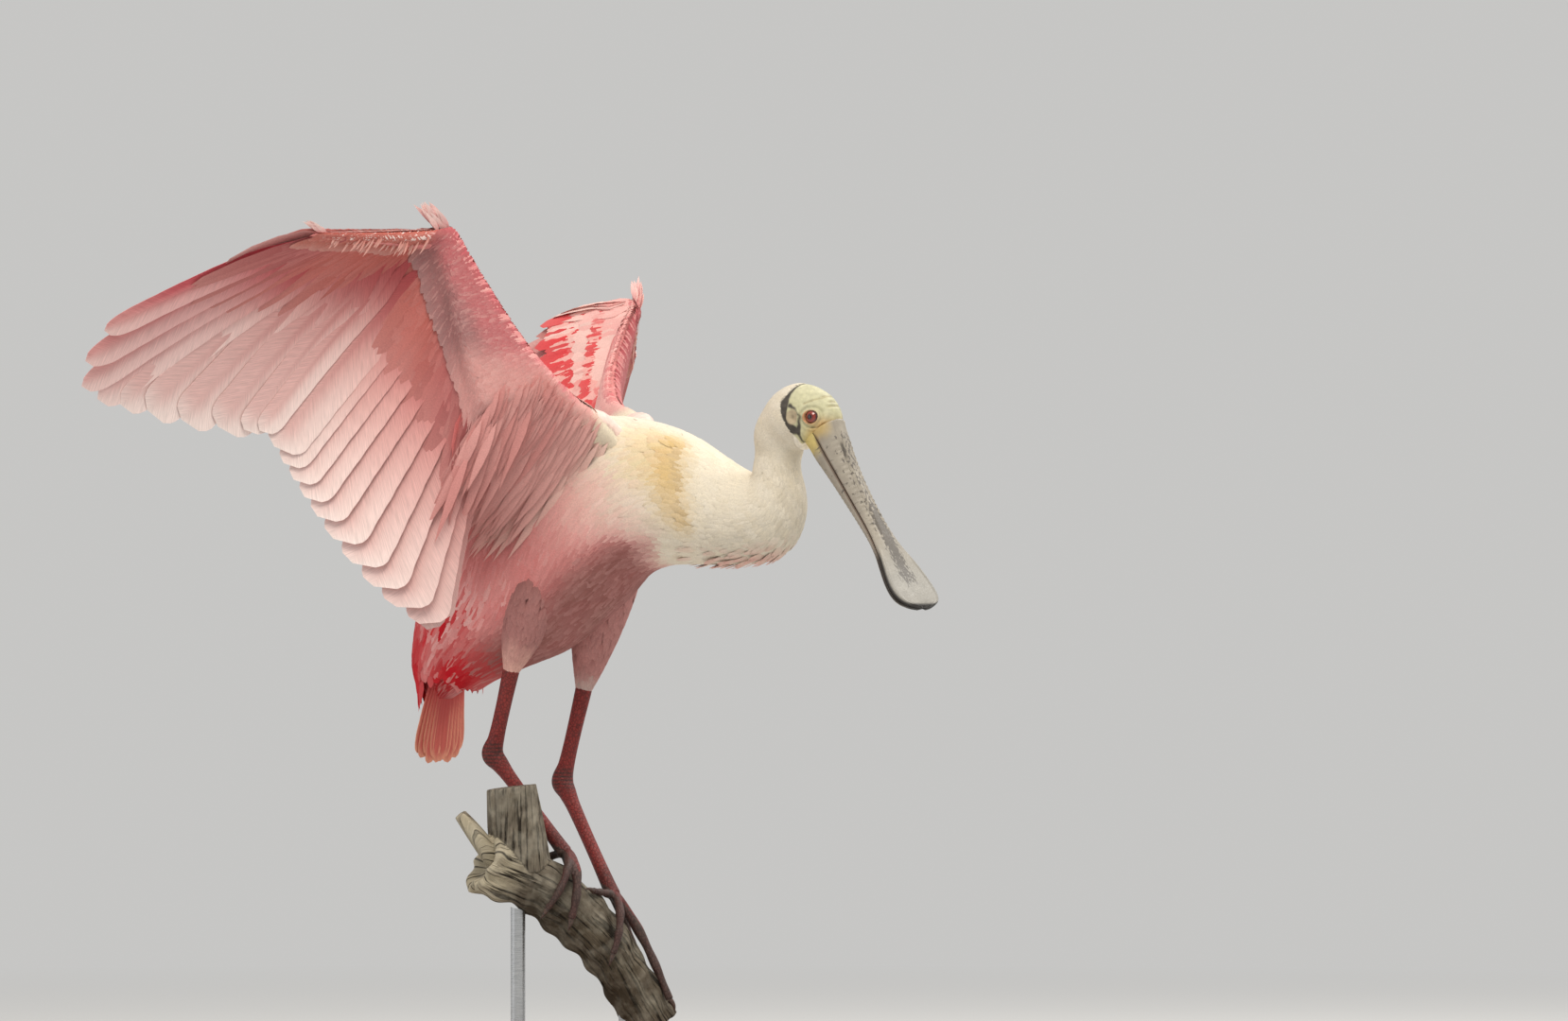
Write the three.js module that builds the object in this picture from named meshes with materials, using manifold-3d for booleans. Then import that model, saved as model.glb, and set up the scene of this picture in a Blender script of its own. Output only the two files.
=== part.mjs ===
// A roseate spoonbill at life size, perched with both wings held open, on a short
// length of dead branch that a flat display stand carries.
// Millimetres. +X is the way the bird faces, +Y is its left and +Z is up.
// The origin is the middle of the underside of the stand's base.
import * as THREE from "three";
import Module from "manifold-3d";

// Driving dimensions of the bird
const SHOULDER_HEIGHT = 535;
const SHOULDER_X = 22;
const GAP = 0.3;
const BODY_SIDES = 16;
const CLEARANCE = 0.35;

// The trunk and neck, tail root to neck top, in the plane of symmetry.
// x, height, heading of the axis in degrees, half depth, half width
const TRUNK = [
  [-146, 318, 72, 14, 22],
  [-136, 340, 66, 32, 36],
  [-112, 372, 56, 53, 47],
  [-78, 406, 44, 70, 57],
  [-42, 441, 31, 78, 63],
  [-5, 466, 20, 77, 65],
  [32, 480, 7, 67, 59],
  [70, 480, -6, 57, 48],
  [104, 471, -12, 47, 40],
  [130, 464, -7, 40, 35],
];
// The bend of the neck turns about the inner corner under the throat.
// heading in degrees, half depth, half width
const BEND_CORNER = [146, 499];
const BEND = [
  [0, 37, 33],
  [22, 36, 31],
  [45, 32, 28],
  [68, 26, 24],
  [88, 22, 21],
];
const NECK_TOP = [[168, 512, 88, 20.5, 19]];
// The head turns about the chin, from the nape round to the base of the bill.
const CHIN = [193, 517];
const HEAD = [
  [86, 22, 19],
  [66, 24, 20.5],
  [44, 24.8, 21.5],
  [22, 26.4, 22],
  [0, 27.4, 21.5],
  [-18, 27, 20.5],
  [-34, 26.4, 18],
  [-47, 25.2, 16.4],
  [-59, 23.6, 15],
];
const HEAD_TURN = 12;
const HEAD_PIVOT_X = 168;

// Bill: the distance along it, half width, height of the upper and the lower half
const BILL_LENGTH = 176;
const BILL_START = [213.5, 531];
const BILL_HEADING = [-57.5, -48];
const BILL = [
  [0, 15.8, 25, 18],
  [0.1, 13.6, 19, 14.5],
  [0.25, 12, 14, 11],
  [0.42, 11.4, 11, 8.5],
  [0.56, 12.4, 9, 7],
  [0.66, 16, 7.5, 6],
  [0.76, 22, 6, 5],
  [0.85, 26.4, 5, 4.4],
  [0.92, 27, 4.4, 4],
  [0.965, 23, 3.6, 3.2],
  [0.99, 14, 2.6, 2.2],
  [1, 6, 1.6, 1.4],
];

const EYE_RADIUS = 6.2;
const EYE_TURN = -39.5;
const EYE_RISE = 36.2;
const EYE_APART = 12.8;

// Feather counts of one wing and of the tail
const PRIMARIES = 10;
const SECONDARIES = 12;
const TERTIALS = 6;
const TAIL_FEATHERS = 12;
const COLUMNS_PER_FEATHER = 3;
const FAN_ROWS = 4;

// Joints of each wing from the point between the shoulders, and what its feathers do.
// Feather keys: feather number from the outermost primary inwards, direction, length.
const WING_RIGHT = {
  side: -1,
  shoulder: [0, -44, 0],
  elbow: [-20, -158, 23],
  wrist: [-50, -168, 156],
  handEnd: [-105, -266, 157],
  edgeStart: [38, -42, 10],
  edgeEnd: [-38, -167, 165],
  edgeSag: [8, 0, -32],
  feathers: [
    [0, -0.618, -0.705, -0.36, 190],
    [1, -0.628, -0.67, -0.405, 208],
    [2, -0.637, -0.628, -0.46, 236],
    [3.5, -0.643, -0.572, -0.518, 252],
    [5.5, -0.643, -0.5, -0.585, 240],
    [8, -0.626, -0.32, -0.71, 214],
    [10.5, -0.585, -0.305, -0.752, 210],
    [14.5, -0.51, -0.21, -0.832, 206],
    [18, -0.3, -0.13, -0.944, 211],
    [20, -0.16, -0.08, -0.984, 208],
    [22, -0.2, -0.02, -0.98, 188],
    [25, -0.56, 0.05, -0.83, 176],
    [28, -0.76, 0.12, -0.64, 150],
  ],
};
const WING_LEFT = {
  side: 1,
  shoulder: [0, 44, 0],
  elbow: [-70, 130, -25],
  wrist: [-57, 168, 103],
  handEnd: [-111, 263, 64],
  edgeStart: [34, 42, 10],
  edgeEnd: [-53, 170, 108],
  edgeSag: [-30, -4, -22],
  feathers: [
    [0, -0.45, 0.64, -0.62, 190],
    [1, -0.47, 0.62, -0.63, 208],
    [2, -0.49, 0.59, -0.64, 236],
    [3.5, -0.56, 0.53, -0.61, 252],
    [5.5, -0.68, 0.44, -0.5, 240],
    [8, -0.84, 0.3, -0.31, 214],
    [10.5, -0.93, 0.19, -0.23, 210],
    [14.5, -0.91, 0.12, -0.38, 206],
    [18, -0.76, 0.05, -0.65, 211],
    [20, -0.69, 0.02, -0.72, 206],
    [22, -0.65, -0.02, -0.76, 186],
    [25, -0.66, -0.06, -0.74, 172],
    [28, -0.72, -0.12, -0.66, 150],
  ],
};

// Thickness of a feather fan at its roots and at its tips
const FAN_ROOT = 7;
const FAN_TIP = 1.4;
const CAMBER = 0.07;
const CAMBER_OUTER = 0.03;
// Where the feathers leave the flesh, from the bone: at the wrist, finger end and elbow
const QUILL_START = [18.6, 12.6, 15];

// Tail: middle of its root, fall and backward reach of its tips, half widths
const TAIL_ROOT = [-134, 352];
const TAIL_TIP_DROP = 88;
const TAIL_TIP_BACK = -12;
const TAIL_HALF_ROOT = 16;
const TAIL_HALF_TIP = 46;

// Legs: top of the thigh, end of its feathers, and ankle
const LEG_RIGHT = {
  name: "right",
  thigh: [-32, -30, 428],
  cuff: [-58, -36, 342],
  ankle: [-80, -29, 271],
  cuffRadius: 11,
};
const LEG_LEFT = {
  name: "left",
  thigh: [-4, 30, 428],
  cuff: [-31.5, 38, 326],
  ankle: [-47, 29, 248],
  cuffRadius: 11,
};
const THIGH_RADIUS = 30;
const SHANK_RADIUS = 6.2;
const ANKLE_RADIUS = 9;
const TARSUS_RADIUS = 5.4;

// Perch: the branch's course from its knob at the fork down to its sawn end, and its radius
const BRANCH_COURSE = [
  [-62, -73, 184],
  [-29, -35, 162],
  [1, 0, 123],
  [17, 20, 89],
  [34, 38, 50],
];
const BRANCH_RADIUS = [27, 25.5, 24.5, 23, 21];
const FORK_ALONG = 34;
const STUB_LEAN = [-4, -3, 42];
const STUB_RADIUS = 26;

// Toes: the way along the branch and the turn round it from the foot's joint to each tip,
// then the toe's radius. A turn above 0 is towards the bird's right.
const TOES = {
  left: [
    ["middle", 88, 46, 4.6],
    ["outer", 62, -38, 4.2],
    ["inner", 26, 104, 4],
    ["hind", -19, 44, 3.8],
  ],
  right: [
    ["middle", 26, 112, 4.6],
    ["outer", 40, -66, 4.2],
    ["inner", 4, 124, 4],
    ["hind", -12, -76, 3.8],
  ],
};
const FOOT_ALONG = { left: 102, right: 55 };
const FOOT_LIFT = 9;
const CLAW_LENGTH = 11;

// Stand
const BASE_LENGTH = 320;
const BASE_WIDTH = 260;
const BASE_HEIGHT = 18;
const BASE_CORNER = 26;
const ROD_RADIUS = 6;
const ROD_PLACES = { upper: 30, lower: 158 };

const wasm = await Module();
wasm.setup();

const vector = (x, y, z) => new THREE.Vector3(x, y, z);
const radians = THREE.MathUtils.degToRad;

// Smooth value at q of rows [q, a, b, ...]: cubic pieces whose slopes come from both neighbours.
function smooth(rows, q) {
  let i = 0;
  while (i < rows.length - 2 && q > rows[i + 1][0]) i += 1;
  const slope = (k, c) => {
    const a = rows[Math.max(k - 1, 0)];
    const b = rows[Math.min(k + 1, rows.length - 1)];
    return (b[c] - a[c]) / (b[0] - a[0]);
  };
  const [lo, hi] = [rows[i], rows[i + 1]];
  const span = hi[0] - lo[0];
  const t = THREE.MathUtils.clamp((q - lo[0]) / span, 0, 1);
  const value = (c) =>
    (2 * t ** 3 - 3 * t ** 2 + 1) * lo[c] +
    (t ** 3 - 2 * t ** 2 + t) * span * slope(i, c) +
    (3 * t ** 2 - 2 * t ** 3) * hi[c] +
    (t ** 3 - t ** 2) * span * slope(i + 1, c);
  return lo.slice(1).map((_, c) => value(c + 1));
}

// Closed mesh from rings of points, with flat ends. A ring's first half runs one way along
// the section and its second half runs back, so the ends close as strips between them.
function closedMesh(rings) {
  const count = rings[0].length;
  const points = rings.flat().flatMap((p) => [p.x, p.y, p.z]);
  const faces = [];
  for (let r = 0; r < rings.length - 1; r += 1) {
    for (let k = 0; k < count; k += 1) {
      const next = (k + 1) % count;
      const [a, b, c, d] = [r * count + k, r * count + next, (r + 1) * count + next, (r + 1) * count + k];
      faces.push([a, b, c], [a, c, d]);
    }
  }
  const end = (first, flip) => {
    for (let k = 0; k < count / 2 - 1; k += 1) {
      const [a, b, c, d] = [first + k, first + k + 1, first + count - 2 - k, first + count - 1 - k];
      const two = [[a, c, b], [a, d, c]];
      for (const face of two) faces.push(flip ? face.reverse() : face);
    }
  };
  end(0, false);
  end((rings.length - 1) * count, true);
  const geometry = new THREE.BufferGeometry();
  geometry.setAttribute("position", new THREE.Float32BufferAttribute(points, 3));
  geometry.setIndex(faces.flat());
  if (signedVolume(geometry) < 0) geometry.setIndex(faces.map((f) => [f[0], f[2], f[1]]).flat());
  return geometry;
}

function signedVolume(geometry) {
  const position = geometry.getAttribute("position");
  const index = geometry.getIndex().array;
  const [a, b, c] = [vector(), vector(), vector()];
  let total = 0;
  for (let i = 0; i < index.length; i += 3) {
    a.fromBufferAttribute(position, index[i]);
    b.fromBufferAttribute(position, index[i + 1]);
    c.fromBufferAttribute(position, index[i + 2]);
    total += a.dot(b.cross(c)) / 6;
  }
  return total;
}

// Solids for cutting and joining
function solid(geometry) {
  return new wasm.Manifold(
    new wasm.Mesh({
      numProp: 3,
      vertProperties: new Float32Array(geometry.getAttribute("position").array),
      triVerts: new Uint32Array(geometry.getIndex().array),
    }),
  );
}

function geometryOf(body) {
  const mesh = body.getMesh();
  const geometry = new THREE.BufferGeometry();
  const points = new Float32Array(mesh.vertProperties.length);
  points.set(mesh.vertProperties);
  geometry.setAttribute("position", new THREE.BufferAttribute(points, 3));
  geometry.setIndex([...mesh.triVerts]);
  return geometry;
}

// What is left of a shape once its neighbours are taken away: its largest piece.
function cut(shape, neighbours) {
  let rest = shape;
  for (const neighbour of neighbours) rest = rest.subtract(neighbour);
  const pieces = rest.decompose();
  pieces.sort((a, b) => b.volume() - a.volume());
  return pieces[0];
}

// Rings of the body. Each section is an ellipse across the axis, and the belly half may be
// a little fuller than the back.
function section(x, z, heading, depth, width, grow, yaw = 0) {
  const turn = radians(heading);
  const up = [-Math.sin(turn), Math.cos(turn)];
  const ring = [];
  for (let k = 0; k < BODY_SIDES; k += 1) {
    const angle = ((k + 0.5) / BODY_SIDES) * 2 * Math.PI;
    const across = (width + grow) * Math.sin(angle);
    const rise = (depth + grow) * Math.cos(angle);
    const point = vector(x + rise * up[0], across, z + rise * up[1]);
    ring.push(turned(point, yaw));
  }
  return ring;
}

// The head's small turn to the right, about an upright line through the top of the neck
function turned(point, yaw) {
  const angle = radians(-yaw);
  const dx = point.x - HEAD_PIVOT_X;
  return vector(
    HEAD_PIVOT_X + dx * Math.cos(angle) - point.y * Math.sin(angle),
    dx * Math.sin(angle) + point.y * Math.cos(angle),
    point.z,
  );
}

// A section that swings about a corner below the throat or at the chin
function swung(corner, [heading, depth, width], grow, yaw = 0) {
  const turn = radians(heading);
  const x = corner[0] - depth * Math.sin(turn);
  const z = corner[1] + depth * Math.cos(turn);
  return section(x, z, heading, depth, width, grow, yaw);
}

function bendSection([heading, depth, width], grow) {
  const turn = radians(heading);
  const x = BEND_CORNER[0] + depth * Math.sin(turn);
  const z = BEND_CORNER[1] - depth * Math.cos(turn);
  return section(x, z, heading, depth, width, grow);
}

const trunkKeys = TRUNK.map((row, i) => [i, ...row]);

// Rings of the trunk between two places on its list of sections, counted from the tail root
function trunkRings(from, to, steps, grow) {
  const rings = [];
  for (let i = 0; i <= steps; i += 1) {
    const [x, z, heading, depth, width] = smooth(trunkKeys, from + ((to - from) * i) / steps);
    rings.push(section(x, z, heading, depth, width, grow));
  }
  return rings;
}

// A ring moved along the normal of its own plane
function shifted(ring, amount) {
  const [a, b, c] = [ring[0], ring[Math.floor(ring.length / 3)], ring[Math.floor((2 * ring.length) / 3)]];
  const normal = b.clone().sub(a).cross(c.clone().sub(a)).normalize();
  return ring.map((p) => p.clone().addScaledVector(normal, amount));
}

const headYaw = (heading) => HEAD_TURN * THREE.MathUtils.smoothstep(86 - heading, 0, 66);

function headRings(grow) {
  return HEAD.map((row) => swung(CHIN, row, grow, headYaw(row[0])));
}

function neckTopRings(grow) {
  const last = BEND[BEND.length - 1];
  const first = HEAD[0];
  return [bendSection(last, grow), section(...NECK_TOP[0], grow), swung(CHIN, first, grow, 0)];
}

// One ring at each end is drawn back so that neighbours don't touch
function spaced(rings) {
  const out = rings.slice();
  const last = out.length - 1;
  const into = (ring, inner) => {
    const a = shifted(ring, GAP);
    const b = shifted(ring, -GAP);
    const centre = mean(inner);
    return mean(a).distanceTo(centre) < mean(b).distanceTo(centre) ? a : b;
  };
  out[last] = into(out[last], out[last - 1]);
  return out;
}

function mean(ring) {
  const sum = vector(0, 0, 0);
  for (const p of ring) sum.add(p);
  return sum.divideScalar(ring.length);
}

// Bill: sections along a gently straightening line, each half a flat-backed lens
function billPoint(t) {
  const steps = 24;
  let [x, z] = BILL_START;
  for (let i = 0; i < steps; i += 1) {
    const at = (t * (i + 0.5)) / steps;
    const heading = radians(THREE.MathUtils.lerp(BILL_HEADING[0], BILL_HEADING[1], at));
    x += (Math.cos(heading) * BILL_LENGTH * t) / steps;
    z += (Math.sin(heading) * BILL_LENGTH * t) / steps;
  }
  return [x, z];
}

function billHalf(upper, grow) {
  const sides = 6;
  const rings = BILL.map(([t, width, top, bottom]) => {
    const [x, z] = billPoint(t);
    const heading = radians(THREE.MathUtils.lerp(BILL_HEADING[0], BILL_HEADING[1], t));
    const up = [-Math.sin(heading), Math.cos(heading)];
    const height = (upper ? top : bottom) + grow;
    const sign = upper ? 1 : -1;
    const at = (across, rise) => turned(vector(x + rise * up[0], across, z + rise * up[1]), HEAD_TURN);
    const ring = [];
    for (let k = 0; k < sides; k += 1) {
      const angle = (k / (sides - 1)) * Math.PI;
      const across = -(width + grow) * Math.cos(angle);
      ring.push(at(across, sign * (GAP / 2 + Math.sin(angle) * height + 0.2)));
    }
    for (let k = sides - 1; k >= 0; k -= 1) {
      const across = -(width + grow) * Math.cos((k / (sides - 1)) * Math.PI);
      ring.push(at(across, sign * (GAP / 2 - (grow > 0 ? grow : 0))));
    }
    return ring;
  });
  return closedMesh(rings);
}

function ball(centre, radius, detail) {
  const sphere = new THREE.SphereGeometry(radius, detail, Math.round(detail / 2));
  sphere.translate(centre.x, centre.y, centre.z);
  return solid(weld(sphere));
}

// Shared corners merged, so that a shape from a three.js class is one closed body
function weld(geometry) {
  const position = geometry.getAttribute("position");
  const seen = new Map();
  const points = [];
  const order = [];
  for (let i = 0; i < position.count; i += 1) {
    const p = vector().fromBufferAttribute(position, i);
    const key = p.toArray().map((v) => Math.round(v * 1e4)).join(",");
    if (!seen.has(key)) {
      seen.set(key, points.length / 3);
      points.push(p.x, p.y, p.z);
    }
    order.push(seen.get(key));
  }
  const old = geometry.getIndex() ? [...geometry.getIndex().array] : order.map((_, i) => i);
  const faces = [];
  for (let i = 0; i < old.length; i += 3) {
    const [a, b, c] = [order[old[i]], order[old[i + 1]], order[old[i + 2]]];
    if (a !== b && b !== c && a !== c) faces.push(a, b, c);
  }
  const out = new THREE.BufferGeometry();
  out.setAttribute("position", new THREE.Float32BufferAttribute(points, 3));
  out.setIndex(faces);
  return out;
}

// Round tapering limb along points, each given as [centre, radius]
function limb(stations, sides) {
  const centres = stations.map(([p]) => p);
  const rings = [];
  let side = vector(0, 1, 0);
  stations.forEach(([p, radius], i) => {
    const before = centres[Math.max(i - 1, 0)];
    const after = centres[Math.min(i + 1, centres.length - 1)];
    const along = after.clone().sub(before).normalize();
    side = side.clone().addScaledVector(along, -side.dot(along)).normalize();
    const other = along.clone().cross(side);
    const ring = [];
    for (let k = 0; k < sides; k += 1) {
      const angle = (k / sides) * 2 * Math.PI;
      const offset = side.clone().multiplyScalar(Math.cos(angle)).addScaledVector(other, Math.sin(angle));
      ring.push(p.clone().addScaledVector(offset, radius));
    }
    rings.push(ring);
  });
  return closedMesh(rings);
}

// Wings
const fromShoulders = (p) => vector(p[0], p[1], p[2] + SHOULDER_HEIGHT);
const FEATHERS = PRIMARIES + SECONDARIES + TERTIALS;
const ARM_START = -0.24;

// Root of feather q, counted from the outermost primary inwards: along the hand, then the
// forearm, then the upper arm
function featherRoot(wing, q) {
  const [hand, wrist] = [fromShoulders(wing.handEnd), fromShoulders(wing.wrist)];
  const [elbow, shoulder] = [fromShoulders(wing.elbow), fromShoulders(wing.shoulder)];
  if (q <= PRIMARIES) return hand.lerp(wrist, (q / PRIMARIES) * 0.97);
  if (q <= PRIMARIES + SECONDARIES) {
    return wrist.lerp(elbow, 0.03 + 0.97 * ((q - PRIMARIES) / SECONDARIES));
  }
  return elbow.lerp(shoulder, ((q - PRIMARIES - SECONDARIES) / TERTIALS) * 0.72);
}

function featherAim(wing, q) {
  const [x, y, z, length] = smooth(wing.feathers, q);
  return [vector(x, y, z).normalize(), length];
}

// Direction that the wing's upper side faces at feather q
function upperSide(wing, q) {
  const window = 3;
  const outer = featherRoot(wing, Math.max(q - window, 0));
  const inner = featherRoot(wing, Math.min(q + window, FEATHERS));
  const [aim] = featherAim(wing, q);
  const across = outer.sub(inner);
  return across.cross(aim).multiplyScalar(wing.side).normalize();
}

// How far from the bone feather q leaves the flesh
function quillStart(q) {
  const [wrist, finger, arm] = QUILL_START;
  if (q < PRIMARIES) return THREE.MathUtils.lerp(finger, wrist, q / PRIMARIES);
  return THREE.MathUtils.lerp(wrist, arm, Math.min((q - PRIMARIES) / 2, 1));
}

// Sheet of feathers from number a to b. Each feather ends in a rounded tip.
function fan(wing, a, b) {
  const columns = Math.round((b - a) * COLUMNS_PER_FEATHER);
  const rings = [];
  for (let i = 0; i <= columns; i += 1) {
    const q = a + (i / columns) * (b - a);
    const within = q - Math.floor(q + 1e-9);
    const notch = 1 - 0.055 * (2 * Math.abs(within - 0.5)) ** 2.5;
    const root = featherRoot(wing, q);
    const [aim, length] = featherAim(wing, q);
    const upper = upperSide(wing, q);
    const [front, back] = [[], []];
    const start = quillStart(q) / length;
    const camber = THREE.MathUtils.lerp(CAMBER_OUTER, CAMBER, Math.min(q / 5, 1));
    for (let r = 0; r <= FAN_ROWS; r += 1) {
      const f = start + (1 - start) * (r / FAN_ROWS);
      const bulge = camber * length * Math.sin(Math.PI * f ** 0.8);
      const p = root.clone().addScaledVector(aim, length * f * notch).addScaledVector(upper, bulge);
      const half = (FAN_TIP + (FAN_ROOT - FAN_TIP) * (1 - f) ** 2) / 2;
      front.push(p.clone().addScaledVector(upper, half));
      back.push(p.clone().addScaledVector(upper, -half));
    }
    rings.push([...front, ...back.reverse()]);
  }
  return solid(closedMesh(rings));
}

// Front edge of the arm, from shoulder to wrist, drawn in by the fold of skin
function armEdge(wing, s) {
  const edge = fromShoulders(wing.edgeStart).lerp(fromShoulders(wing.edgeEnd), s);
  const sag = Math.sin(Math.PI * Math.max(s, 0)) ** 0.9;
  return edge.add(vector(...wing.edgeSag).multiplyScalar(sag));
}

// Back edge of the arm: just behind the upper arm, round the elbow and up the forearm
function armBack(wing, s) {
  const turn = 0.42;
  const [shoulder, elbow, wrist] = [wing.shoulder, wing.elbow, wing.wrist].map(fromShoulders);
  const bone = s < turn ? shoulder.lerp(elbow, s / turn) : elbow.lerp(wrist, (s - turn) / (1 - turn));
  const upperArm = THREE.MathUtils.clamp(s / turn, 0, 1);
  const q = FEATHERS - TERTIALS * upperArm - SECONDARIES * Math.max((s - turn) / (1 - turn), 0);
  const [aim] = featherAim(wing, q);
  return bone.addScaledVector(aim, 14);
}

// The arm's flesh and small coverts: a rounded section from front edge to back edge
function armRings(wing, from, to, steps, grow) {
  const half = 4;
  const rings = [];
  for (let i = 0; i <= steps; i += 1) {
    const s = from + ((to - from) * i) / steps;
    const [front, back] = [armEdge(wing, s), armBack(wing, s)];
    const chord = back.clone().sub(front);
    const q = FEATHERS - (FEATHERS - PRIMARIES) * THREE.MathUtils.clamp(s, 0, 0.96);
    const upper = upperSide(wing, q);
    upper.addScaledVector(chord, -upper.dot(chord) / chord.lengthSq()).normalize();
    const thick = THREE.MathUtils.lerp(15, 7.5, Math.max(s, 0)) + grow;
    const out = chord.clone().normalize().multiplyScalar(grow);
    const [a, b] = [front.clone().sub(out), back.clone().add(out)];
    const ring = [];
    for (const sign of [1, -1]) {
      for (let k = 0; k <= half; k += 1) {
        const c = (1 - Math.cos((((k + 0.35) / (half + 0.7)) * Math.PI))) / 2;
        const along = sign > 0 ? c : 1 - c;
        const height = thick * Math.sqrt(Math.max(Math.sin(Math.PI * along ** 0.7), 0.02));
        ring.push(a.clone().lerp(b, along).addScaledVector(upper, sign * height));
      }
    }
    rings.push(ring);
  }
  return rings;
}

// The hand: a flat tapering limb from the wrist to the end of the finger
function handShape(wing, grow) {
  const [wrist, end] = [fromShoulders(wing.wrist), fromShoulders(wing.handEnd)];
  const steps = 5;
  const rings = [];
  for (let i = 0; i <= steps; i += 1) {
    const s = i / steps;
    const q = PRIMARIES * (1 - s);
    const [aim] = featherAim(wing, q);
    const upper = upperSide(wing, q);
    const centre = wrist.clone().lerp(end, s * 1.02);
    const [width, thick] = [THREE.MathUtils.lerp(12, 6, s) + grow, THREE.MathUtils.lerp(8, 4, s) + grow];
    const ring = [];
    for (let k = 0; k < 8; k += 1) {
      const angle = ((k + 0.5) / 8) * 2 * Math.PI;
      ring.push(
        centre
          .clone()
          .addScaledVector(aim, 5 + width * Math.sin(angle))
          .addScaledVector(upper, thick * Math.cos(angle)),
      );
    }
    rings.push(ring);
  }
  return solid(closedMesh(rings));
}

// The thumb's tuft of small stiff feathers, standing up from the wrist
function alula(wing) {
  const wrist = fromShoulders(wing.wrist);
  const outward = fromShoulders(wing.handEnd).sub(wrist).normalize();
  const lift = vector(0, 0, 1).multiplyScalar(0.8).addScaledVector(outward, 0.5).normalize();
  const start = wrist.clone().addScaledVector(outward, 6);
  return solid(
    limb(
      [
        [start, 6],
        [start.clone().addScaledVector(lift, 9), 4.5],
        [start.clone().addScaledVector(lift, 19), 1.2],
      ],
      6,
    ),
  );
}

// Perch and toes
const course = new THREE.CatmullRomCurve3(
  BRANCH_COURSE.map((p) => vector(...p)),
  false,
  "centripetal",
);
const courseLength = course.getLength();
const upright = vector(0, 0, 1);

function branchAxis(along) {
  return course.getTangentAt(THREE.MathUtils.clamp(along / courseLength, 0, 1));
}

function branchCentre(along) {
  return course.getPointAt(THREE.MathUtils.clamp(along / courseLength, 0, 1));
}

function branchRadius(along) {
  const rows = BRANCH_RADIUS.map((radius, i) => [i, radius]);
  return smooth(rows, (along / courseLength) * (rows.length - 1))[0];
}

// Outward direction at a turn round the branch: 0 is its upper side
function branchOut(along, turn) {
  const axis = branchAxis(along);
  const up = upright.clone().addScaledVector(axis, -axis.z).normalize();
  const side = axis.clone().cross(up).normalize();
  const angle = radians(turn);
  return up.multiplyScalar(Math.cos(angle)).addScaledVector(side, Math.sin(angle));
}

// Point at a place along the branch, a turn round it and a height over its bark
function onBranch(along, turn, over) {
  return branchCentre(along).addScaledVector(branchOut(along, turn), branchRadius(along) + over);
}

function branch(grow) {
  const steps = 8;
  const stations = [];
  for (let i = 0; i <= steps; i += 1) {
    const along = (courseLength * i) / steps;
    stations.push([branchCentre(along), branchRadius(along) + grow]);
  }
  let shape = solid(limb(stations, 12));
  const fork = branchCentre(FORK_ALONG);
  const lean = vector(...STUB_LEAN);
  const stub = [
    [fork.clone(), STUB_RADIUS + grow],
    [fork.clone().add(lean), STUB_RADIUS * 0.92 + grow],
    [fork.clone().addScaledVector(lean, 1.75), STUB_RADIUS * 0.8 + grow],
  ];
  shape = shape.add(solid(limb(stub, 12)));
  const twigStart = branchCentre(FORK_ALONG * 0.4);
  const twig = [
    [twigStart, 9 + grow],
    [twigStart.clone().add(vector(-16, -16, 30)), 7.5 + grow],
    [twigStart.clone().add(vector(-24, -24, 44)), 5.5 + grow],
  ];
  return shape.add(solid(limb(twig, 6)));
}

const footJoint = (foot) => onBranch(FOOT_ALONG[foot], 0, FOOT_LIFT);

function toePath(foot, along, turn, radius) {
  const start = FOOT_ALONG[foot];
  const steps = 5;
  const stations = [];
  for (let i = 0; i <= steps; i += 1) {
    const t = i / steps;
    const thick = radius * (1 - 0.35 * t);
    const lift = 5 * (1 - t) ** 3 + thick + CLEARANCE;
    stations.push([onBranch(start + along * t, turn * t ** 0.85, lift), thick]);
  }
  return stations;
}

function footShape(leg) {
  const joint = footJoint(leg.name);
  let shape = ball(joint, 8, 6);
  for (const [, along, turn, radius] of TOES[leg.name]) {
    const path = toePath(leg.name, along, turn, radius);
    path.unshift([joint.clone(), 6]);
    shape = shape.add(solid(limb(path, 6)));
  }
  return shape;
}

function claw(foot, along, turn, radius) {
  const path = toePath(foot, along, turn, radius);
  const [tip, before] = [path[path.length - 1][0], path[path.length - 2][0]];
  const aim = tip.clone().sub(before).normalize();
  const thick = radius * 0.5;
  const out = branchOut(FOOT_ALONG[foot] + along, turn);
  const start = tip.clone().addScaledVector(aim, GAP + 0.3);
  return solid(
    limb(
      [
        [start, thick],
        [start.clone().addScaledVector(aim, CLAW_LENGTH * 0.5).addScaledVector(out, 1.2), thick * 0.75],
        [start.clone().addScaledVector(aim, CLAW_LENGTH).addScaledVector(out, 0.2), 0.5],
      ],
      5,
    ),
  );
}

// Materials
const finish = (color, roughness, metalness = 0) => new THREE.MeshStandardMaterial({ color, roughness, metalness });
const MATERIALS = {
  pink: finish(0xe28f97, 0.8),
  cream: finish(0xeae3d6, 0.85),
  carmine: finish(0xc8323e, 0.75),
  tail: finish(0xe59a6a, 0.75),
  head: finish(0xcfcbb0, 0.6),
  bill: finish(0x9d998c, 0.5),
  eye: finish(0xb3202a, 0.15),
  leg: finish(0x8e2f3a, 0.6),
  claw: finish(0x2d2724, 0.5),
  bark: finish(0x8b8478, 0.9),
  wood: finish(0x6b4a30, 0.45),
  metal: finish(0xb9bbbd, 0.3, 1),
};

const group = new THREE.Group();

function place(name, geometry, material) {
  const mesh = new THREE.Mesh(geometry, material);
  mesh.name = name;
  group.add(mesh);
}

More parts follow.
